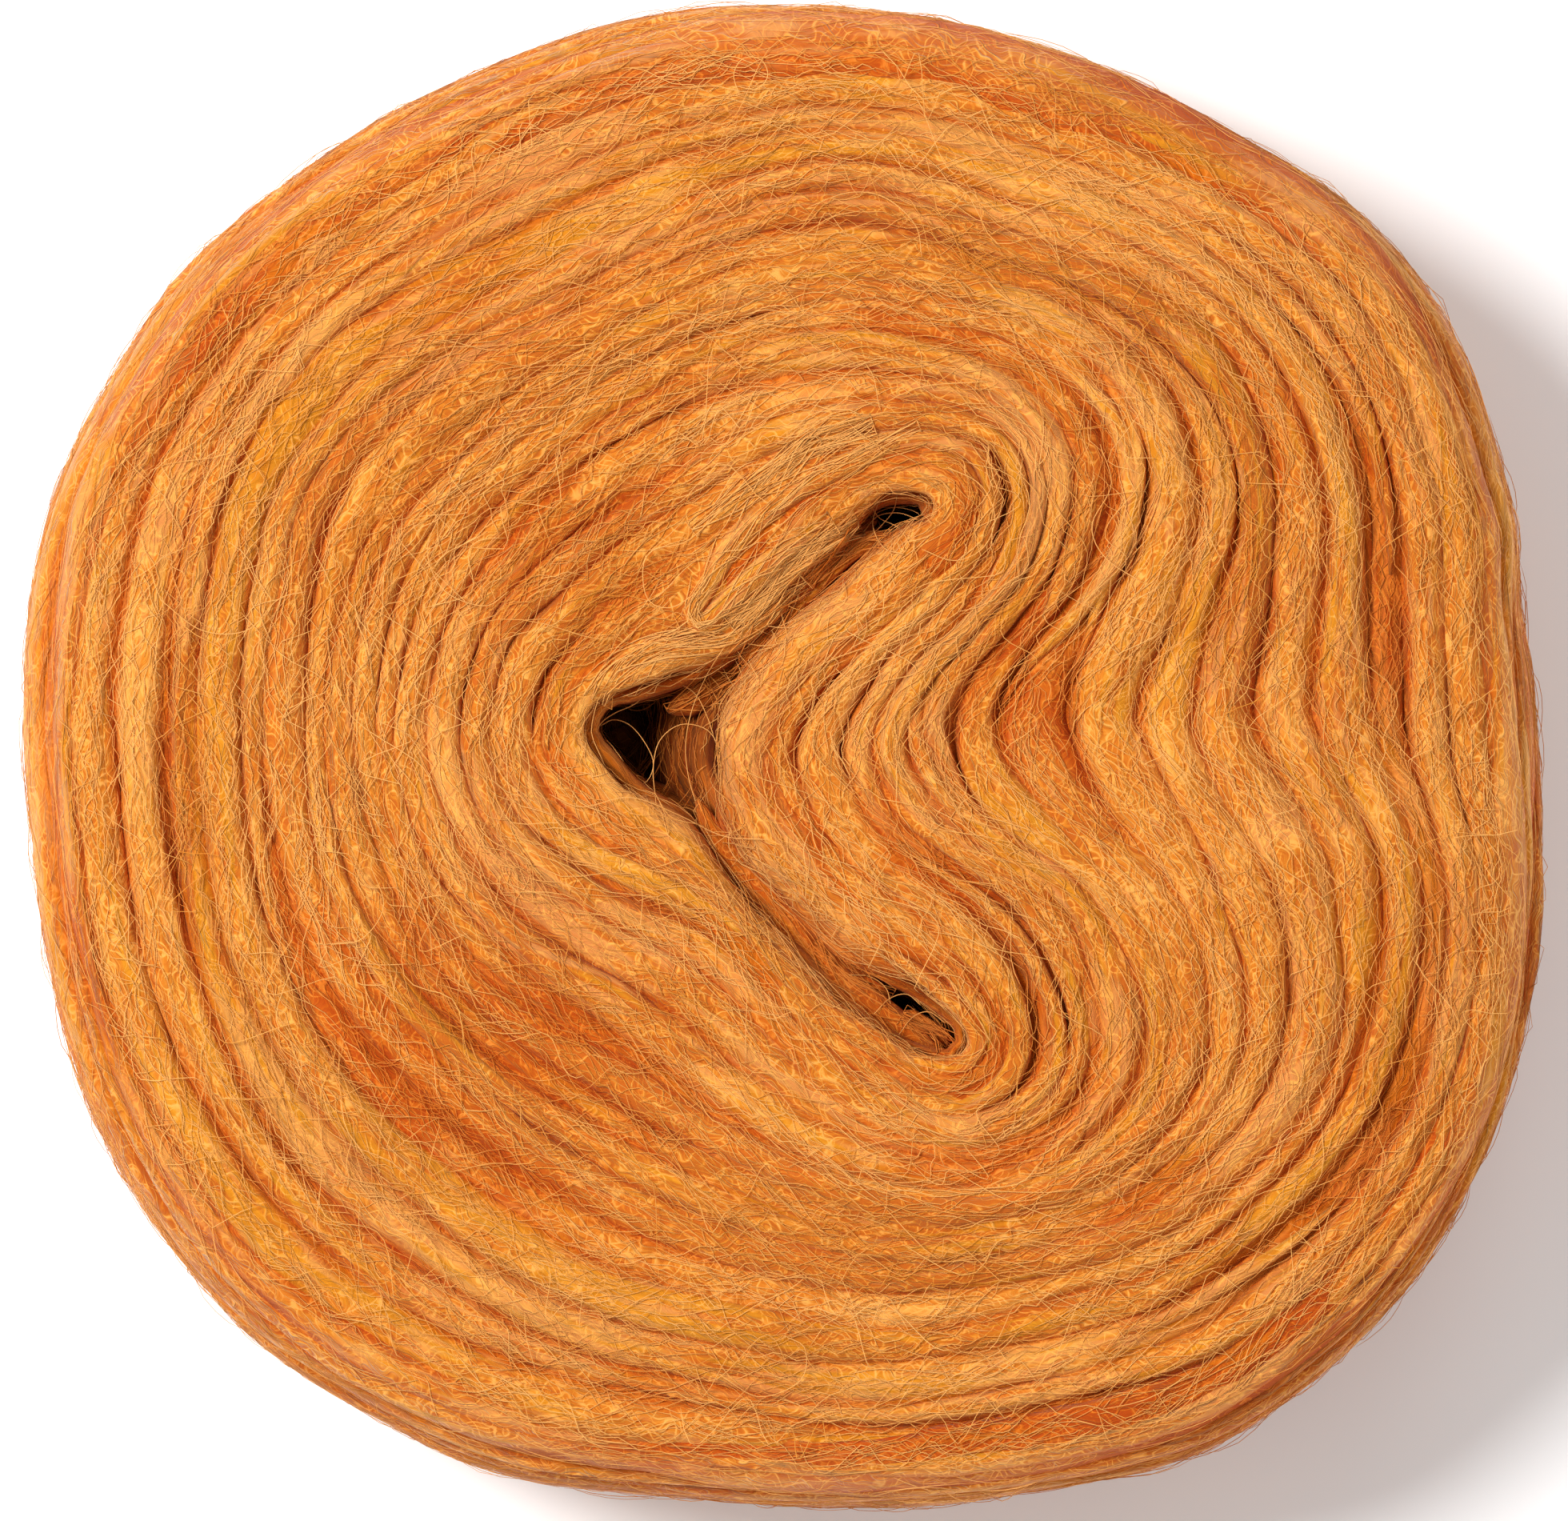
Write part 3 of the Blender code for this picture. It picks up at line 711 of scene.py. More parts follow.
def crease_courses():
    """Where each crease runs round the cake, and how deep it is, at GRID_TURNS."""
    places, depths = [np.full(GRID, 0.004)], [np.ones(GRID)]
    for k, (share, usual, deeper) in enumerate(CREASES):
        gap = 0.5 * (CREASES[k + 1][0] - share if k + 1 < len(CREASES) else 0.05)
        wander = gap * (0.20 * noise_curve(GRID, 3, RNG) + 0.10 * noise_curve(GRID, 9, RNG))
        depth = np.full(GRID, usual) + 0.15 * noise_curve(GRID, 4, RNG) + 0.15 * noise_curve(GRID, 9, RNG)
        for section, reach, peak in deeper:
            depth = depth + (peak - usual) * bell(GRID_TURNS, ROW[section], reach)
        places.append(share + np.clip(wander, -0.45 * gap, 0.45 * gap))
        depths.append(np.clip(depth * calm(GRID_TURNS), 0, 1.4))
    places.append(np.full(GRID, SHOULDER_IN + 0.006) + 0.004 * noise_curve(GRID, 4, RNG))
    depths.append(np.clip(0.45 + 0.25 * noise_curve(GRID, 5, RNG), 0, 1))
    return np.array(places), np.array(depths)


def at_turn(values, turn):
    return np.interp(np.asarray(turn) % 1.0, np.append(GRID_TURNS, 1.0), np.append(values, values[0]))


CREASE_AT, CREASE_DEPTH = crease_courses()
# how much each bundle overlaps its neighbour: much where they melt together, none in a deep crease
OVERLAP = 1.70 - 0.38 * CREASE_DEPTH + 0.40 * np.clip(1 - calm(GRID_TURNS), 0, 1)
# where the sides of the hollow are squeezed together, the innermost bundle bulges into it:
# from one row of the plan to another
SQUEEZED = ((3.7, 6.6), (10.8, 13.4), (15.0, 17.4), (23.2, 26.6))


def window(turn, first, last, soft=0.9):
    """1 between two rows of the plan, falling to 0 over soft rows beyond them."""
    row = (np.asarray(turn) % 1.0) * len(PLAN)
    x = np.clip(np.minimum(row - first, last - row) / soft + 1, 0, 1)
    return x * x * (3 - 2 * x)


OVERLAP[0] = 1.00 + 1.05 * np.clip(sum(window(GRID_TURNS, a, b) for a, b in SQUEEZED), 0, 1)
face = Heap("face_bundles", (1, 17))
for i in range(len(CREASE_AT) - 1):
    middle = 0.5 * float(np.mean(CREASE_AT[i] + CREASE_AT[i + 1]))
    n = 210 if i < 4 else 260
    turn = even_turns(min(middle / SHOULDER_IN, 1.0), n + 1, 0.013 * i, 0.013 * i + 1)[:-1]
    inner, outer = at_turn(CREASE_AT[i], turn), at_turn(CREASE_AT[i + 1], turn)
    share = 0.5 * (inner + outer)
    course = np.where(share < SHOULDER_IN, share / SHOULDER_IN, 1.0)
    course = np.clip(course, 0.006, 0.995)
    half = across_width(turn, course) * (outer - inner) / SHOULDER_IN * 0.5
    left = np.clip(half * at_turn(OVERLAP[i], turn), 0.0005, 0.0070)
    right = np.clip(half * at_turn(OVERLAP[i + 1], turn), 0.0005, 0.0070)
    apart = 0.5 * (at_turn(CREASE_DEPTH[i], turn) + at_turn(CREASE_DEPTH[i + 1], turn))
    high = np.clip((0.42 + 0.20 * apart) * (left + right), 0.0013, 0.0030)
    rise = 0.00045 * noise_curve(n, 4, RNG) + 0.00022 * noise_curve(n, 10, RNG) - 0.0001
    rise = (rise + (0.00030 * RNG.normal() if i > 2 else 0)) * np.clip(calm(turn), 0, 1)
    lay_strand(face, turn, course, left, right, high, high - np.clip(rise, -0.0014, 0.0006),
               BUNDLE_SIDES, True, RNG, lump=0.060, own=0.75, crown=2.2)
face_obj = face.build(ROVING)

# single turns in the tops of the bundles ------------------------------------
turns = Heap("face_turns", (1, 134))
for i in range(TURN_ARCS):
    k = int(RNG.choice(len(CREASE_AT) - 1, p=None))
    span = RNG.uniform(0.07, 0.24)
    start = RNG.uniform(0, 1)
    n = int(24 + 32 * span / 0.24)
    middle = 0.5 * float(np.mean(CREASE_AT[k] + CREASE_AT[k + 1]))
    turn = even_turns(min(middle / SHOULDER_IN, 1.0), n, start, start + span)
    x = np.linspace(0, 1, n)
    inner, outer = at_turn(CREASE_AT[k], turn), at_turn(CREASE_AT[k + 1], turn)
    at = RNG.uniform(0.2, 0.8) + RNG.normal() * 0.55 * (x - 0.5) + 0.06 * noise_curve(n, 2, RNG, False)
    share = inner + (outer - inner) * at
    course = np.clip(share / SHOULDER_IN, 0.008, 0.998)
    ends = np.clip(np.minimum(x, 1 - x) / 0.34, 0, 1) ** 0.7
    wide = RNG.uniform(0.0007, 0.0013) * (0.12 + 0.88 * ends)
    wide = np.minimum(wide, across_width(turn, course) * (outer - inner) / SHOULDER_IN * 0.42)
    high = np.minimum(wide, 0.0011)
    proud = RNG.uniform(0.08, 0.38) * 0.001 * calm(turn)
    inside = np.abs(2 * at - 1)
    drop_off = 0.0011 * np.clip(inside, 0, 1.2) ** 1.7
    sink = high - proud + 0.0009 * (1 - ends) + drop_off
    lay_strand(turns, turn, course, wide, wide, high, sink, 8, False, RNG, lump=0.07, square=0.95,
               own=0.7, fade=ends, crown=1.5)
turns_obj = turns.build(ROVING)

# shoulder, side and heel ------------------------------------------------
side = Heap("side_bundles", (1, 80))
pitch = 1.0 / SIDE_BUNDLES
edges = []
for i in range(SIDE_BUNDLES + 1):
    wander = pitch * (0.30 * noise_curve(GRID, 2, RNG) + 0.12 * noise_curve(GRID, 7, RNG))
    slope = pitch * 0.55 * np.cos(2 * np.pi * (GRID_TURNS - 0.13))
    edges.append(1.0 + pitch * i + np.clip(wander, -0.35 * pitch, 0.35 * pitch) + slope * (0 < i < SIDE_BUNDLES))
for i in range(SIDE_BUNDLES):
    n = 180
    turn = even_turns(1.0 + pitch * (i + 0.5), n + 1, 0.07 * i, 0.07 * i + 1)[:-1]
    low, high_ = at_turn(edges[i], turn), at_turn(edges[i + 1], turn)
    course = np.clip(0.5 * (low + high_), 1.0, 1.99)
    half = 0.5 * (high_ - low) * SIDE_PATH
    deep = np.clip(0.75 + 0.3 * noise_curve(n, 4, RNG), 0, 1.2)
    wide = half * (1.60 - 0.50 * deep)
    high = np.full(n, 0.0022)
    rise = 0.00034 * noise_curve(n, 4, RNG) + 0.00020 * noise_curve(n, 12, RNG) - 0.0001
    lay_strand(side, turn, course, wide, wide, high, high - np.clip(rise, -0.0009, 0.0004) + 0.0003,
               11, True, RNG, lump=0.060, own=0.85, crown=1.5)
for i in range(SIDE_ARCS):
    course0 = RNG.uniform(1.0, 1.95)
    span = RNG.uniform(0.08, 0.28)
    start = RNG.uniform(0, 1)
    n = int(26 + 36 * span / 0.28)
    turn = even_turns(course0, n, start, start + span)
    x = np.linspace(0, 1, n)
    course = course0 + RNG.normal() * 0.05 * (x - 0.5) + 0.010 * noise_curve(n, 2, RNG, False)
    course = np.clip(course, 0.99, 1.97)
    ends = np.clip(np.minimum(x, 1 - x) / 0.34, 0, 1) ** 0.7
    wide = RNG.uniform(0.0009, 0.0015) * (0.12 + 0.88 * ends)
    high = np.minimum(wide, 0.0012)
    sink = high - RNG.uniform(0.05, 0.35) * 0.001 + 0.0010 * (1 - ends) + 0.0003
    lay_strand(side, turn, course, wide, wide, high, sink, 8, False, RNG, lump=0.07, square=0.95,
               own=0.7, fade=ends)
side_obj = side.build(OUTER)

# wall of the hollow and base --------------------------------------------
inside = Heap("hollow_and_base_bundles", (1, 26))
for i in range(WALL_BUNDLES):
    course0 = -(i + 0.35) / WALL_BUNDLES
    n = 130
    turn = even_turns(0.0, n + 1, 0.05 * i, 0.05 * i + 1)[:-1]
    course = np.clip(course0 + 0.015 * noise_curve(n, 3, RNG), -0.98, -0.012)
    wide = 0.0027 * (1 + 0.05 * noise_curve(n, 5, RNG))
    high = 0.0011 * (1 + 0.08 * noise_curve(n, 6, RNG))
    bulge = np.clip(sum(window(turn, a, b) for a, b in SQUEEZED), 0, 1) * (0.0011 if i > 1 else 0.0002)
    bulge = bulge + 0.0008 * np.clip(-course0 / 0.5 - 0.4, 0, 1)
    lay_strand(inside, turn, course, wide, wide, high, 0.00085 - bulge, 8, True, RNG, lump=0.06,
               own=0.3)
pitch = 1.0 / BASE_BUNDLES
for i in range(BASE_BUNDLES):
    course0 = 2.0 + (i + 0.5) * pitch
    n = 112
    turn = even_turns(course0, n + 1, 0.07 * i, 0.07 * i + 1)[:-1]
    course = np.clip(course0 + pitch * 0.16 * noise_curve(n, 3, RNG), 2.0, 2.985)
    half = across_width(turn, course) * pitch * 0.5
    wide = np.clip(half * 1.22, 0.0008, 0.0050)
    high = np.clip(wide * 0.8, 0.0008, 0.0018)
    lay_strand(inside, turn, course, wide, wide, high, high, 9, True, RNG, lump=0.03, own=0.3)
inside_obj = inside.build(ROVING)

# core: closed body that fills the cake under its strands, with painted shade --------------------
CORE_RINGS = ((-0.93, 1.6), (-0.6, 1.6), (-0.3, 1.6), (-0.06, 1.9), (0.02, 2.2), (0.08, 2.2),
              (0.19, 2.3), (0.29, 2.3), (0.39, 2.3), (0.48, 2.3), (0.575, 2.3), (0.67, 2.3),
              (0.76, 2.3), (0.86, 2.3), (0.97, 2.2), (1.08, 2.1), (1.2, 2.0), (1.35, 2.0),
              (1.5, 2.0), (1.65, 2.0), (1.8, 2.0), (1.9, 1.9), (1.98, 1.5), (2.2, 1.1),
              (2.45, 1.1), (2.62, 1.1), (2.8, 1.1), (2.92, 1.1))


def core():
    heap = Heap("core", (1, 1))
    n = 174
    turn = np.arange(n) / n
    grid, heather, shade = [], [], []
    for course, depth in CORE_RINGS:
        here, _, _, normal = skin_frame(turn, np.full(n, course))
        grid.append(here - normal * depth * 0.001)
        heather.append(heather_at(turn, np.full(n, course)))
        # painted shade: full crease shade under the face, more down the hollow's wall
        shade.append(np.full(n, 1.0) if course > 0 else np.clip(1 + hollow_shade(grid[-1][:, 2]), 0, 2))
    grid, heather, shade = np.stack(grid, 1), np.stack(heather, 1), np.stack(shade, 1)
    rows = grid.shape[1]
    heap.verts.append(grid.reshape(-1, 3))
    heap.heather.append(heather.reshape(-1, 3))
    heap.shade.append(shade.reshape(-1))
    i = np.arange(n)[:, None]
    j = (i + 1) % n
    k = np.arange(rows)[None, :]
    k2 = (k + 1) % rows
    heap.quads.append(np.stack([i * rows + k, j * rows + k, j * rows + k2, i * rows + k2], -1).reshape(-1, 4))
    uv = np.empty((n, rows, 4, 2))
    uv[..., 0, 0] = uv[..., 3, 0] = i * 1.8
    uv[..., 1, 0] = uv[..., 2, 0] = (i + 1) * 1.8
    uv[..., 0, 1] = uv[..., 1, 1] = k * 5.0
    uv[..., 2, 1] = uv[..., 3, 1] = (k + 1) * 5.0
    heap.uv_quads.append(uv.reshape(-1, 2))
    bake = uv / np.array([n * 1.8, rows * 5.0])
    heap.bake_quads.append(bake.reshape(-1, 2))
    return heap.build(CORE)


core_obj = core()
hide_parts("wound_cake")


# ---------------------------------------------------------------- resting on the wool
def tree_of(*objs):
    verts, faces, at = [], [], 0
    for o in objs:
        me = o.data
        co = np.empty(len(me.vertices) * 3, np.float32)
        me.vertices.foreach_get("co", co)
        verts.extend(map(tuple, co.reshape(-1, 3).tolist()))
        me.calc_loop_triangles()
        tri = np.empty(len(me.loop_triangles) * 3, np.int32)
        me.loop_triangles.foreach_get("vertices", tri)
        faces.extend(map(tuple, (tri.reshape(-1, 3) + at).tolist()))
        at += len(me.vertices)
    return BVHTree.FromPolygons(verts, faces, all_triangles=True)


def wool_over(tree, here, normal, above, none=-0.002):
    """Height of the wool over each point along its normal, looked for from this far above it;
    none where there is a gap."""
    flat = here.reshape(-1, 3)
    norm = normal.reshape(-1, 3)
    above = np.broadcast_to(above, here.shape[:-1]).reshape(-1)
    start = flat + norm * above[:, None]
    out = np.full(len(flat), none)
    for k in range(len(flat)):
        hit = tree.ray_cast(Vector(start[k]), Vector(-norm[k]), above[k] - none)
        if hit[3] is not None:
            out[k] = above[k] - hit[3]
    return out.reshape(here.shape[:-1])


def smooth_path(points, n):
    """n points at equal distances along a smooth curve through the given ones."""
    p = np.array(points, float)
    ends = np.vstack([2 * p[0] - p[1], p, 2 * p[-1] - p[-2]])
    out = []
    for i in range(1, len(ends) - 2):
        f = np.linspace(0, 1, 24, endpoint=False)[:, None]
        a, b, c, d = ends[i - 1:i + 3]
        out.append(b + 0.5 * f * (c - a + f * (2 * a - 5 * b + 4 * c - d + f * (3 * (b - c) + d - a))))
    out = np.vstack(out + [p[-1:]])
    d = np.concatenate([[0], np.cumsum(np.linalg.norm(np.diff(out, axis=0), axis=1))])
    at = np.linspace(0, d[-1], n)
    return np.stack([np.interp(at, d, out[:, k]) for k in range(out.shape[1])], -1)


def to_metres(points):
    p = np.array(points, float)
    p[:, 1] *= -1.0
    return (p - MIDDLE) * UNIT


UP = np.array([0.0, 0.0, 1.0])
laid = Heap("laid_turns", (1, 10))
tree = tree_of(face_obj, turns_obj, inside_obj, core_obj)
LAID_PATHS, RECESS_PATHS = [], []


def lay_by_hand(path, half, ends, painted_shade):
    """A strand along a path in space. ends thins it, dark is the shade painted into it; its sides and underside
    are painted darker too.
    """
    n = len(path)
    wide = half * 0.001 * (0.15 + 0.85 * ends)
    path = path - UP * wide[:, None]
    step = float(np.mean(np.linalg.norm(np.diff(path, axis=0), axis=1)))
    lumps = 0.07 * noise_sheet(n, 14, 0.004 / step, 0.6, RNG)
    # painted shade on the sides and underside of the strand
    round_ = np.clip((0.62 - np.sin(girth(14))) / 0.9, 0, 1)[None, :]
    laid.add(path, np.broadcast_to(UP, path.shape), wide, wide, wide, 14, False, lumps,
             0.5 * RNG.normal(size=3) + 0.5 * noise_sheet(n, 14, 5, 1, RNG)[..., None],
             RNG.uniform(0, 40.0), 1.0, np.clip(round_ + painted_shade, 0, 2))


for name, half, proud, points in LAID_TURNS:
    n = 64
    flat = smooth_path(to_metres(points), n)
    here = np.column_stack([flat, np.full(n, 0.030)])
    top = 0.030 + wool_over(tree, here, np.broadcast_to(UP, here.shape), above=0.020, none=-0.01)
    for _ in range(30):
        top[1:-1] = 0.5 * top[1:-1] + 0.25 * (top[:-2] + top[2:])
    x = np.linspace(0, 1, n)
    ends = np.clip(np.minimum(x, 1 - x) / 0.16, 0, 1) ** 0.7
    lay_by_hand(np.column_stack([flat, top + proud * 0.001 * ends - 0.0009 * (1 - ends)]), half, ends,
                0.0)
    LAID_PATHS.append((flat, half * 0.001))
for name, half, tops, points in HOLLOW_TURNS:
    n = 40
    flat = smooth_path(to_metres(points), n)
    x = np.linspace(0, 1, n)
    ends = np.clip(np.minimum(x, 1 - x) / 0.16, 0, 1) ** 0.7
    top = 0.001 * (tops[0] + (tops[1] - tops[0]) * x) - 0.0009 * (1 - ends)
    # painted shade, darker the lower the strand's top lies in the hollow
    lay_by_hand(np.column_stack([flat, top]), half, ends, np.clip((43.5 - tops[0]) / 4.0, 0, 1.5))
    if tops[0] > 30:
        RECESS_PATHS.append((flat, half * 0.001))
laid_obj = laid.build(ROVING)


# ---------------------------------------------------------------- loose fibres
def scatter(count, low, high, rng, part=(0, 1)):
    """Turns and courses spread evenly over the area of the skin between two courses."""
    turn = rng.uniform(part[0], part[1], count * 12)
    course = rng.uniform(low, high, count * 12)
    _, round_, over, _ = skin_frame(turn, course)
    area = np.linalg.norm(np.cross(round_, over), axis=-1)
    keep = rng.uniform(0, np.quantile(area, 0.995), len(area)) < area
    return turn[keep][:count], course[keep][:count]


def fibres(name, count, low, high, length, tree, rng, points=8, radius=(0.000029, 0.000047),
           slant=0.27, lift=(0.00002, 0.00022), crimp=(0.00014, 0.00048), waves=(0.8, 2.0),
           cells=(110, 110), sides=3, own=1.0, into=None, part=(0, 1), wilder=1.9, room=0.0008):
    """Loose fibres that lie along the wool at a slant and bridge its creases. room is how far
    over the skin the wool is looked for in the hollow."""
    heap = Heap(name, cells) if into is None else into
    turn0, course0 = scatter(count, low, high, rng, part)
    spot = skin(turn0, course0)[:, :2]
    clear = np.ones(len(turn0), bool)
    for flat, half in LAID_PATHS:
        near = np.min(np.linalg.norm(spot[:, None, :] - flat[None, ::3, :], axis=-1), axis=1)
        clear &= (near > half + 0.0004) | (rng.uniform(0, 1, len(turn0)) < 0.15)
    turn0, course0 = turn0[clear], course0[clear]
    count = len(turn0)
    long_ = rng.uniform(length[0], length[1], count)
    _, round_, over, _ = skin_frame(turn0, course0)
    per_turn = np.maximum(np.linalg.norm(round_, axis=-1), 0.05)
    per_course = np.maximum(np.linalg.norm(over, axis=-1), 0.02)
    x = np.linspace(-0.5, 0.5, points)[None, :]
    wild = rng.uniform(0, 1, count) < 0.2
    long_ = long_ * np.where(wild, 0.65, 1.0)
    angle = np.clip(rng.normal(0, slant, count) * np.where(wild, wilder, 1.0), -0.95, 0.95)[:, None]
    bow = rng.normal(0, 0.26, count)[:, None]
    aside = (np.sin(angle) * x + bow * (x**2 - 0.08)) * long_[:, None]
    size = rng.uniform(crimp[0], crimp[1], count)[:, None]
    times = rng.uniform(waves[0], waves[1], count)[:, None]
    phase = rng.uniform(0, 2 * np.pi, count)[:, None]
    aside = aside + size * np.sin(2 * np.pi * times * x + phase)
    turn = turn0[:, None] + np.cos(angle) * x * long_[:, None] / per_turn[:, None]
    course = course0[:, None] + aside / per_course[:, None]
    course = np.clip(course, low, high)
    here, _, _, normal = skin_frame(turn, course)
    rise = wool_over(tree, here, normal, np.where(course < 0.055, room, 0.0025))
    bare = rise.copy()
    bare[:, 1:-1] = np.maximum(bare[:, 1:-1], 0.5 * (bare[:, :-2] + bare[:, 2:]) - 0.0004)
    for _ in range(3):
        soft = rise.copy()
        soft[:, 1:-1] = 0.5 * rise[:, 1:-1] + 0.25 * (rise[:, :-2] + rise[:, 2:])
        soft[:, 0] = 0.6 * rise[:, 0] + 0.4 * rise[:, 1]
        soft[:, -1] = 0.6 * rise[:, -1] + 0.4 * rise[:, -2]
        rise = np.maximum(rise, soft)
    rise = np.minimum(rise, bare + 0.00045)
    float_ = rng.uniform(lift[0], lift[1], count)[:, None]
    arch = rng.uniform(0, 1, count)[:, None] ** 4 * 0.0008
    rise = rise + float_ + arch * (1 - (2 * x) ** 2)
    place = here + normal * rise[..., None]
    colour = heather_at(turn0, course0) + own * rng.normal(size=(count, 3))
    # painted shade: fibres are darker where they dip into a crease, and darker still on the hollow's wall
    shade = crease_shade(-1000 * rise)
    shade = np.clip(0.8 * shade + 0.55 * hollow_shade(place[..., 2]) * (course < 0), 0, 2)
    for k in range(count):
        r = rng.uniform(radius[0], radius[1])
        wide = np.full(points, r)
        wide[0] = wide[-1] = r * 0.4
        heap.add(place[k], normal[k], wide, wide, wide, sides, False, 0.0, colour[k],
                 rng.uniform(0, 0.4), 1.0, shade[k][:, None])
    return heap


def fibres_along(heap, flat, half, count, painted_shade, tree, rng):
    """Loose fibres that follow one of the listed strands."""
    seg = np.concatenate([[0], np.cumsum(np.linalg.norm(np.diff(flat, axis=0), axis=1))])
    points = 6
    x = np.linspace(-0.5, 0.5, points)
    for _ in range(count):
        long_ = rng.uniform(0.004, 0.009)
        at = np.clip(rng.uniform(0, seg[-1]) + x * long_, 0, seg[-1])
        if at[-1] - at[0] < 0.003:
            continue
        spot = np.stack([np.interp(at, seg, flat[:, 0]), np.interp(at, seg, flat[:, 1])], -1)
        tangent = unit(np.gradient(spot, axis=0))
        aside = rng.uniform(-1, 1) * half + rng.normal(0, 0.18) * x * long_
        aside = aside + rng.uniform(0.00005, 0.00025) * np.sin(2 * np.pi * rng.uniform(0.4, 1.2) * x
                                                               + rng.uniform(0, 6.28))
        spot = spot + np.stack([-tangent[:, 1], tangent[:, 0]], -1) * aside[:, None]
        here = np.column_stack([spot, np.full(points, 0.030)])
        top = wool_over(tree, here, np.broadcast_to(UP, here.shape), above=0.020, none=-0.01)
        top = np.maximum(top, np.concatenate([top[:1], 0.5 * (top[:-2] + top[2:]), top[-1:]]))
        here[:, 2] += top + rng.uniform(0.00003, 0.0002)
        wide = np.full(points, rng.uniform(0.000042, 0.000066))
        wide[0] = wide[-1] = 0.00002
        heap.add(here, np.broadcast_to(UP, here.shape), wide, wide, wide, 3, False, 0.0,
                 rng.normal(size=3), rng.uniform(0, 0.4), 1.0, painted_shade)


tree = tree_of(face_obj, turns_obj, side_obj, inside_obj, laid_obj, core_obj)
for name in ("face_fibres_a", "face_fibres_b", "face_fibres_c"):
    fibres(name, FACE_FIBRES // 3, 0.004, 1.03, (0.004, 0.011), tree, RNG, cells=(56, 56),
           own=0.7).build(FIBRE, smooth=False)
heap = fibres("side_fibres", SIDE_FIBRES, 1.0, 1.90, (0.005, 0.011), tree, RNG, cells=(76, 76),
              points=6, slant=0.26, crimp=(0.00006, 0.00032), waves=(0.4, 1.25))
fibres("side_fibres", WALL_FIBRES, -0.45, -0.01, (0.003, 0.007), tree, RNG, into=heap, slant=0.45,
       crimp=(0.00003, 0.0001))
fibres("side_fibres", TONGUE_FIBRES, -0.62, 0.03, (0.003, 0.006), tree, RNG, into=heap, slant=0.5,
       crimp=(0.00005, 0.00025), part=(0.425, 0.54), room=0.0028)
heap.build(FIBRE, smooth=False)
curls = fibres("curls", CURLS, 0.01, 1.05, (0.007, 0.017), tree, RNG, points=13,
               radius=(0.000034, 0.000050), slant=0.45, lift=(0.0002, 0.0010),
               crimp=(0.0010, 0.0026), waves=(0.9, 1.9), cells=(30, 30), wilder=1.0)
for flat, half in LAID_PATHS:
    fibres_along(curls, flat, half, 100, 0.0, tree, RNG)
# fibres on the recess strands get painted shade 0.8
for flat, half in RECESS_PATHS:
    fibres_along(curls, flat, half, 34, 0.8, tree, RNG)
for (low, high), points in LAID_CURLS:
    n = 26
    flat = smooth_path(to_metres(points), n)
    here = np.column_stack([flat, np.full(n, 0.030)])
    top = 0.030 + wool_over(tree, here, np.broadcast_to(UP, here.shape), above=0.020, none=-0.001)
    top = np.maximum(top, 0.038)
    for _ in range(12):
        soft = top.copy()
        soft[1:-1] = 0.5 * top[1:-1] + 0.25 * (top[:-2] + top[2:])
        top = np.maximum(top, soft) if max(low, high) > 0.3 else soft
    x = np.linspace(0, 1, n)
    path = np.column_stack([flat, top + 0.0002 + 0.001 * (low + (high - low) * x)])
    wide = np.full(n, 0.000046)
    wide[0] = wide[-1] = 0.00002
    curls.add(path, np.broadcast_to(UP, path.shape), wide, wide, wide, 4, False, 0.0,
              np.array([1.0, 0.8, 0.6]), 0.0)
curls.build(FIBRE, smooth=False)


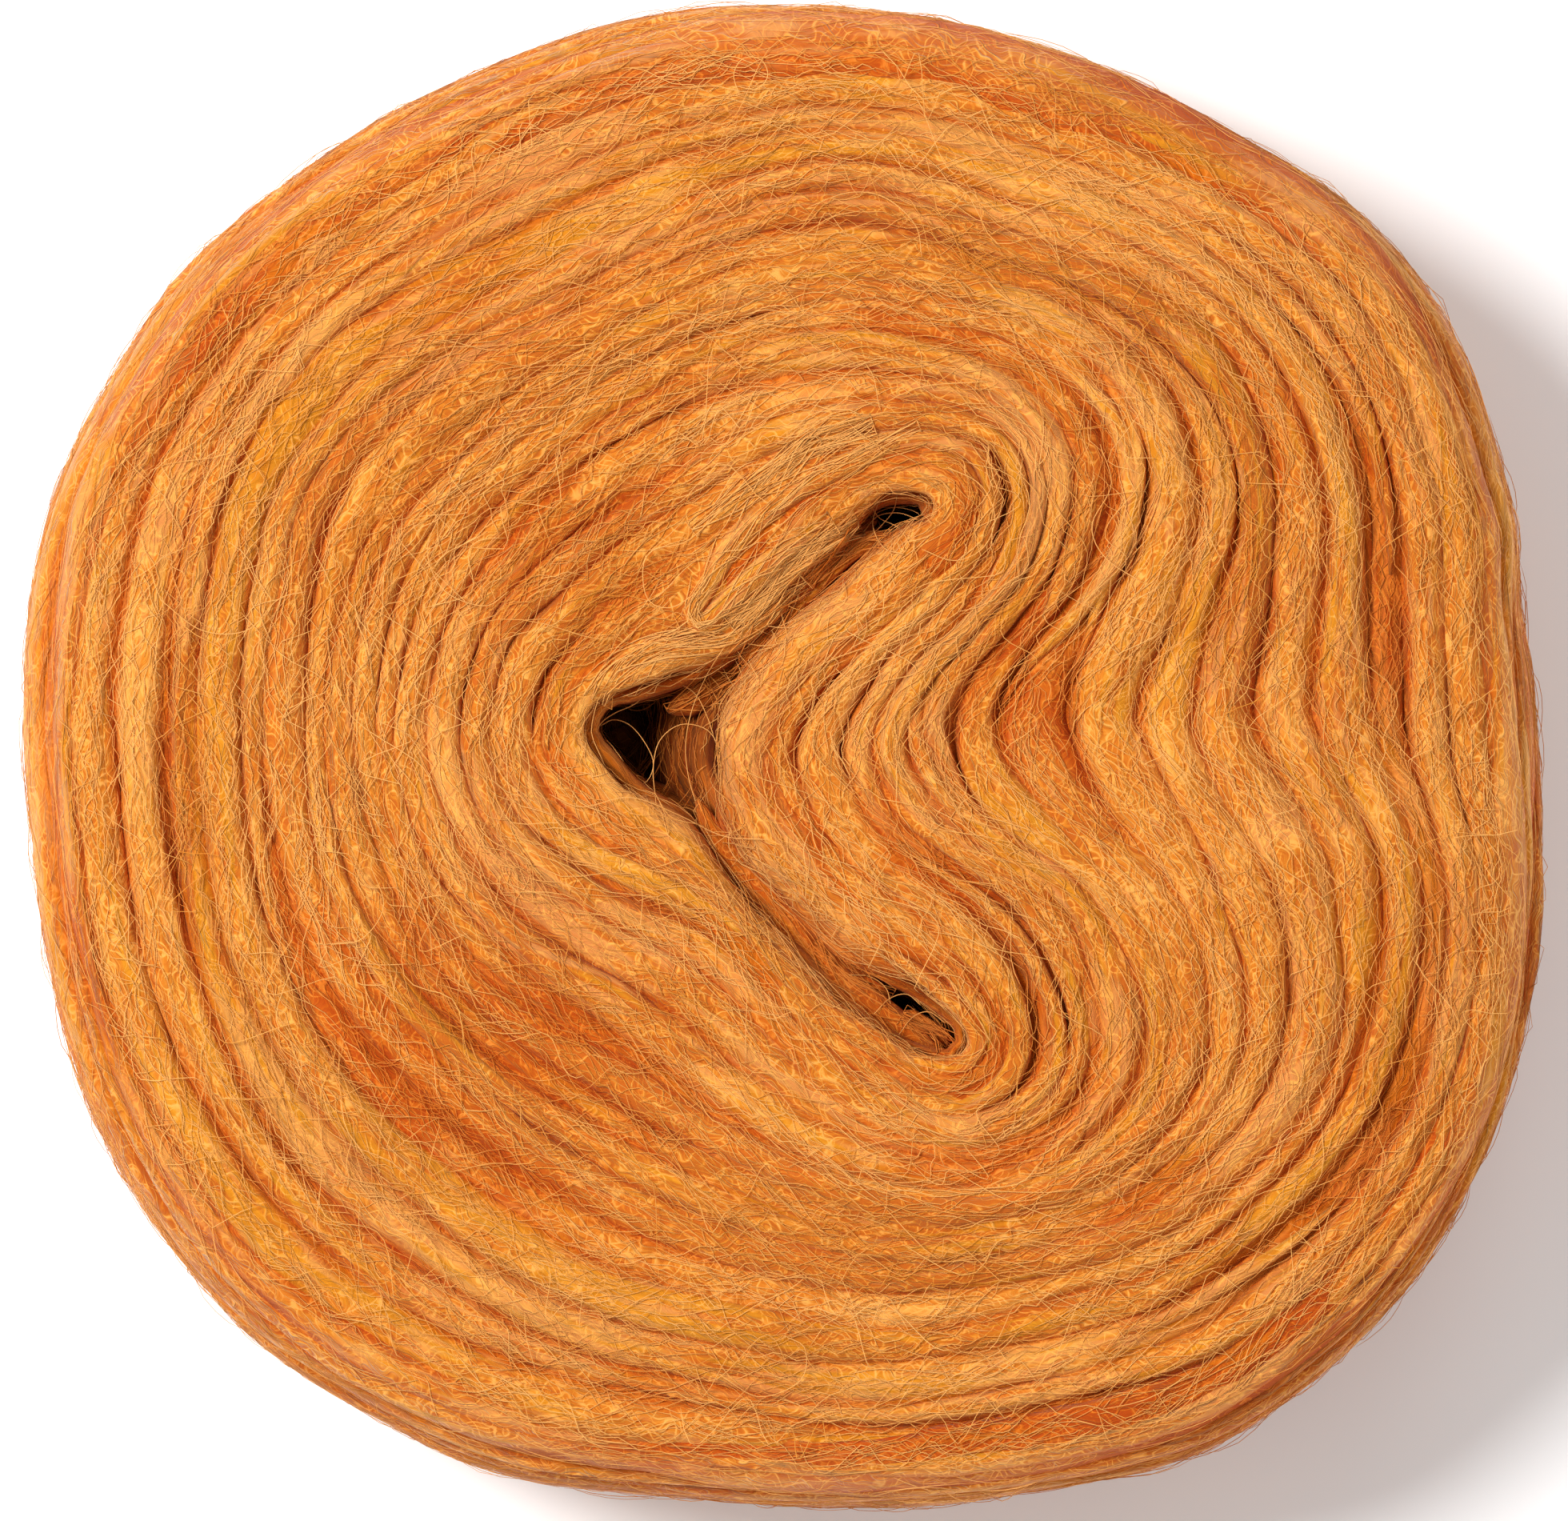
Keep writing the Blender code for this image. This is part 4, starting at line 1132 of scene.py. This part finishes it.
# ---------------------------------------------------------------- floor, light and camera
def floor():
    mesh = bpy.data.meshes.new("floor")
    s = 3.0
    mesh.from_pydata([(-s, -s, -0.0003), (s, -s, -0.0003), (s, s, -0.0003), (-s, s, -0.0003)],
                     [], [(0, 1, 2, 3)])
    obj = bpy.data.objects.new("floor", mesh)
    mat = bpy.data.materials.new("floor")
    mat.use_nodes = True
    bsdf = mat.node_tree.nodes["Principled BSDF"]
    bsdf.inputs["Base Color"].default_value = (0.94, 0.94, 0.94, 1)
    bsdf.inputs["Roughness"].default_value = 0.9
    bsdf.inputs["Specular IOR Level"].default_value = 0.1
    mesh.materials.append(mat)
    bpy.context.scene.collection.objects.link(obj)


def lamp(name, place, size, power, target=(0, 0, 0.02), colour=(1, 1, 1)):
    data = bpy.data.lights.new(name, "AREA")
    data.shape = "DISK"
    data.size = size
    data.energy = power
    data.color = colour
    obj = bpy.data.objects.new(name, data)
    obj.location = place
    obj.rotation_euler = (Vector(target) - Vector(place)).to_track_quat("-Z", "Y").to_euler()
    bpy.context.scene.collection.objects.link(obj)


def studio():
    floor()
    world = bpy.data.worlds.new("studio")
    bpy.context.scene.world = world
    world.use_nodes = True
    back = world.node_tree.nodes["Background"]
    back.inputs["Color"].default_value = (1, 1, 1, 1)
    back.inputs["Strength"].default_value = 0.43
    lamp("key", (-0.56, 0.26, 0.97), 0.44, 16.6)
    lamp("left", (-1.10, -0.30, 0.35), 0.60, 0.4)
    lamp("right", (1.00, -0.70, 0.50), 0.60, 6.0)
    lamp("back", (0.30, 1.20, 0.35), 0.60, 3.0)


def camera():
    data = bpy.data.cameras.new("camera")
    data.lens = 420.0
    data.sensor_width = 36.0
    obj = bpy.data.objects.new("camera", data)
    frame_width = 1960 * UNIT
    plane = 0.022                       # height at which the outline is widest
    centre = (np.array([980.0, -950.5]) - MIDDLE) * UNIT
    obj.location = (float(centre[0]), float(centre[1]),
                    plane + frame_width * data.lens / data.sensor_width)
    data.clip_start, data.clip_end = 0.1, 20.0
    bpy.context.scene.collection.objects.link(obj)
    bpy.context.scene.camera = obj


studio()
camera()
bpy.context.scene.view_settings.view_transform = "Standard"
bpy.context.scene.view_settings.look = "None"

bpy.context.view_layer.update()
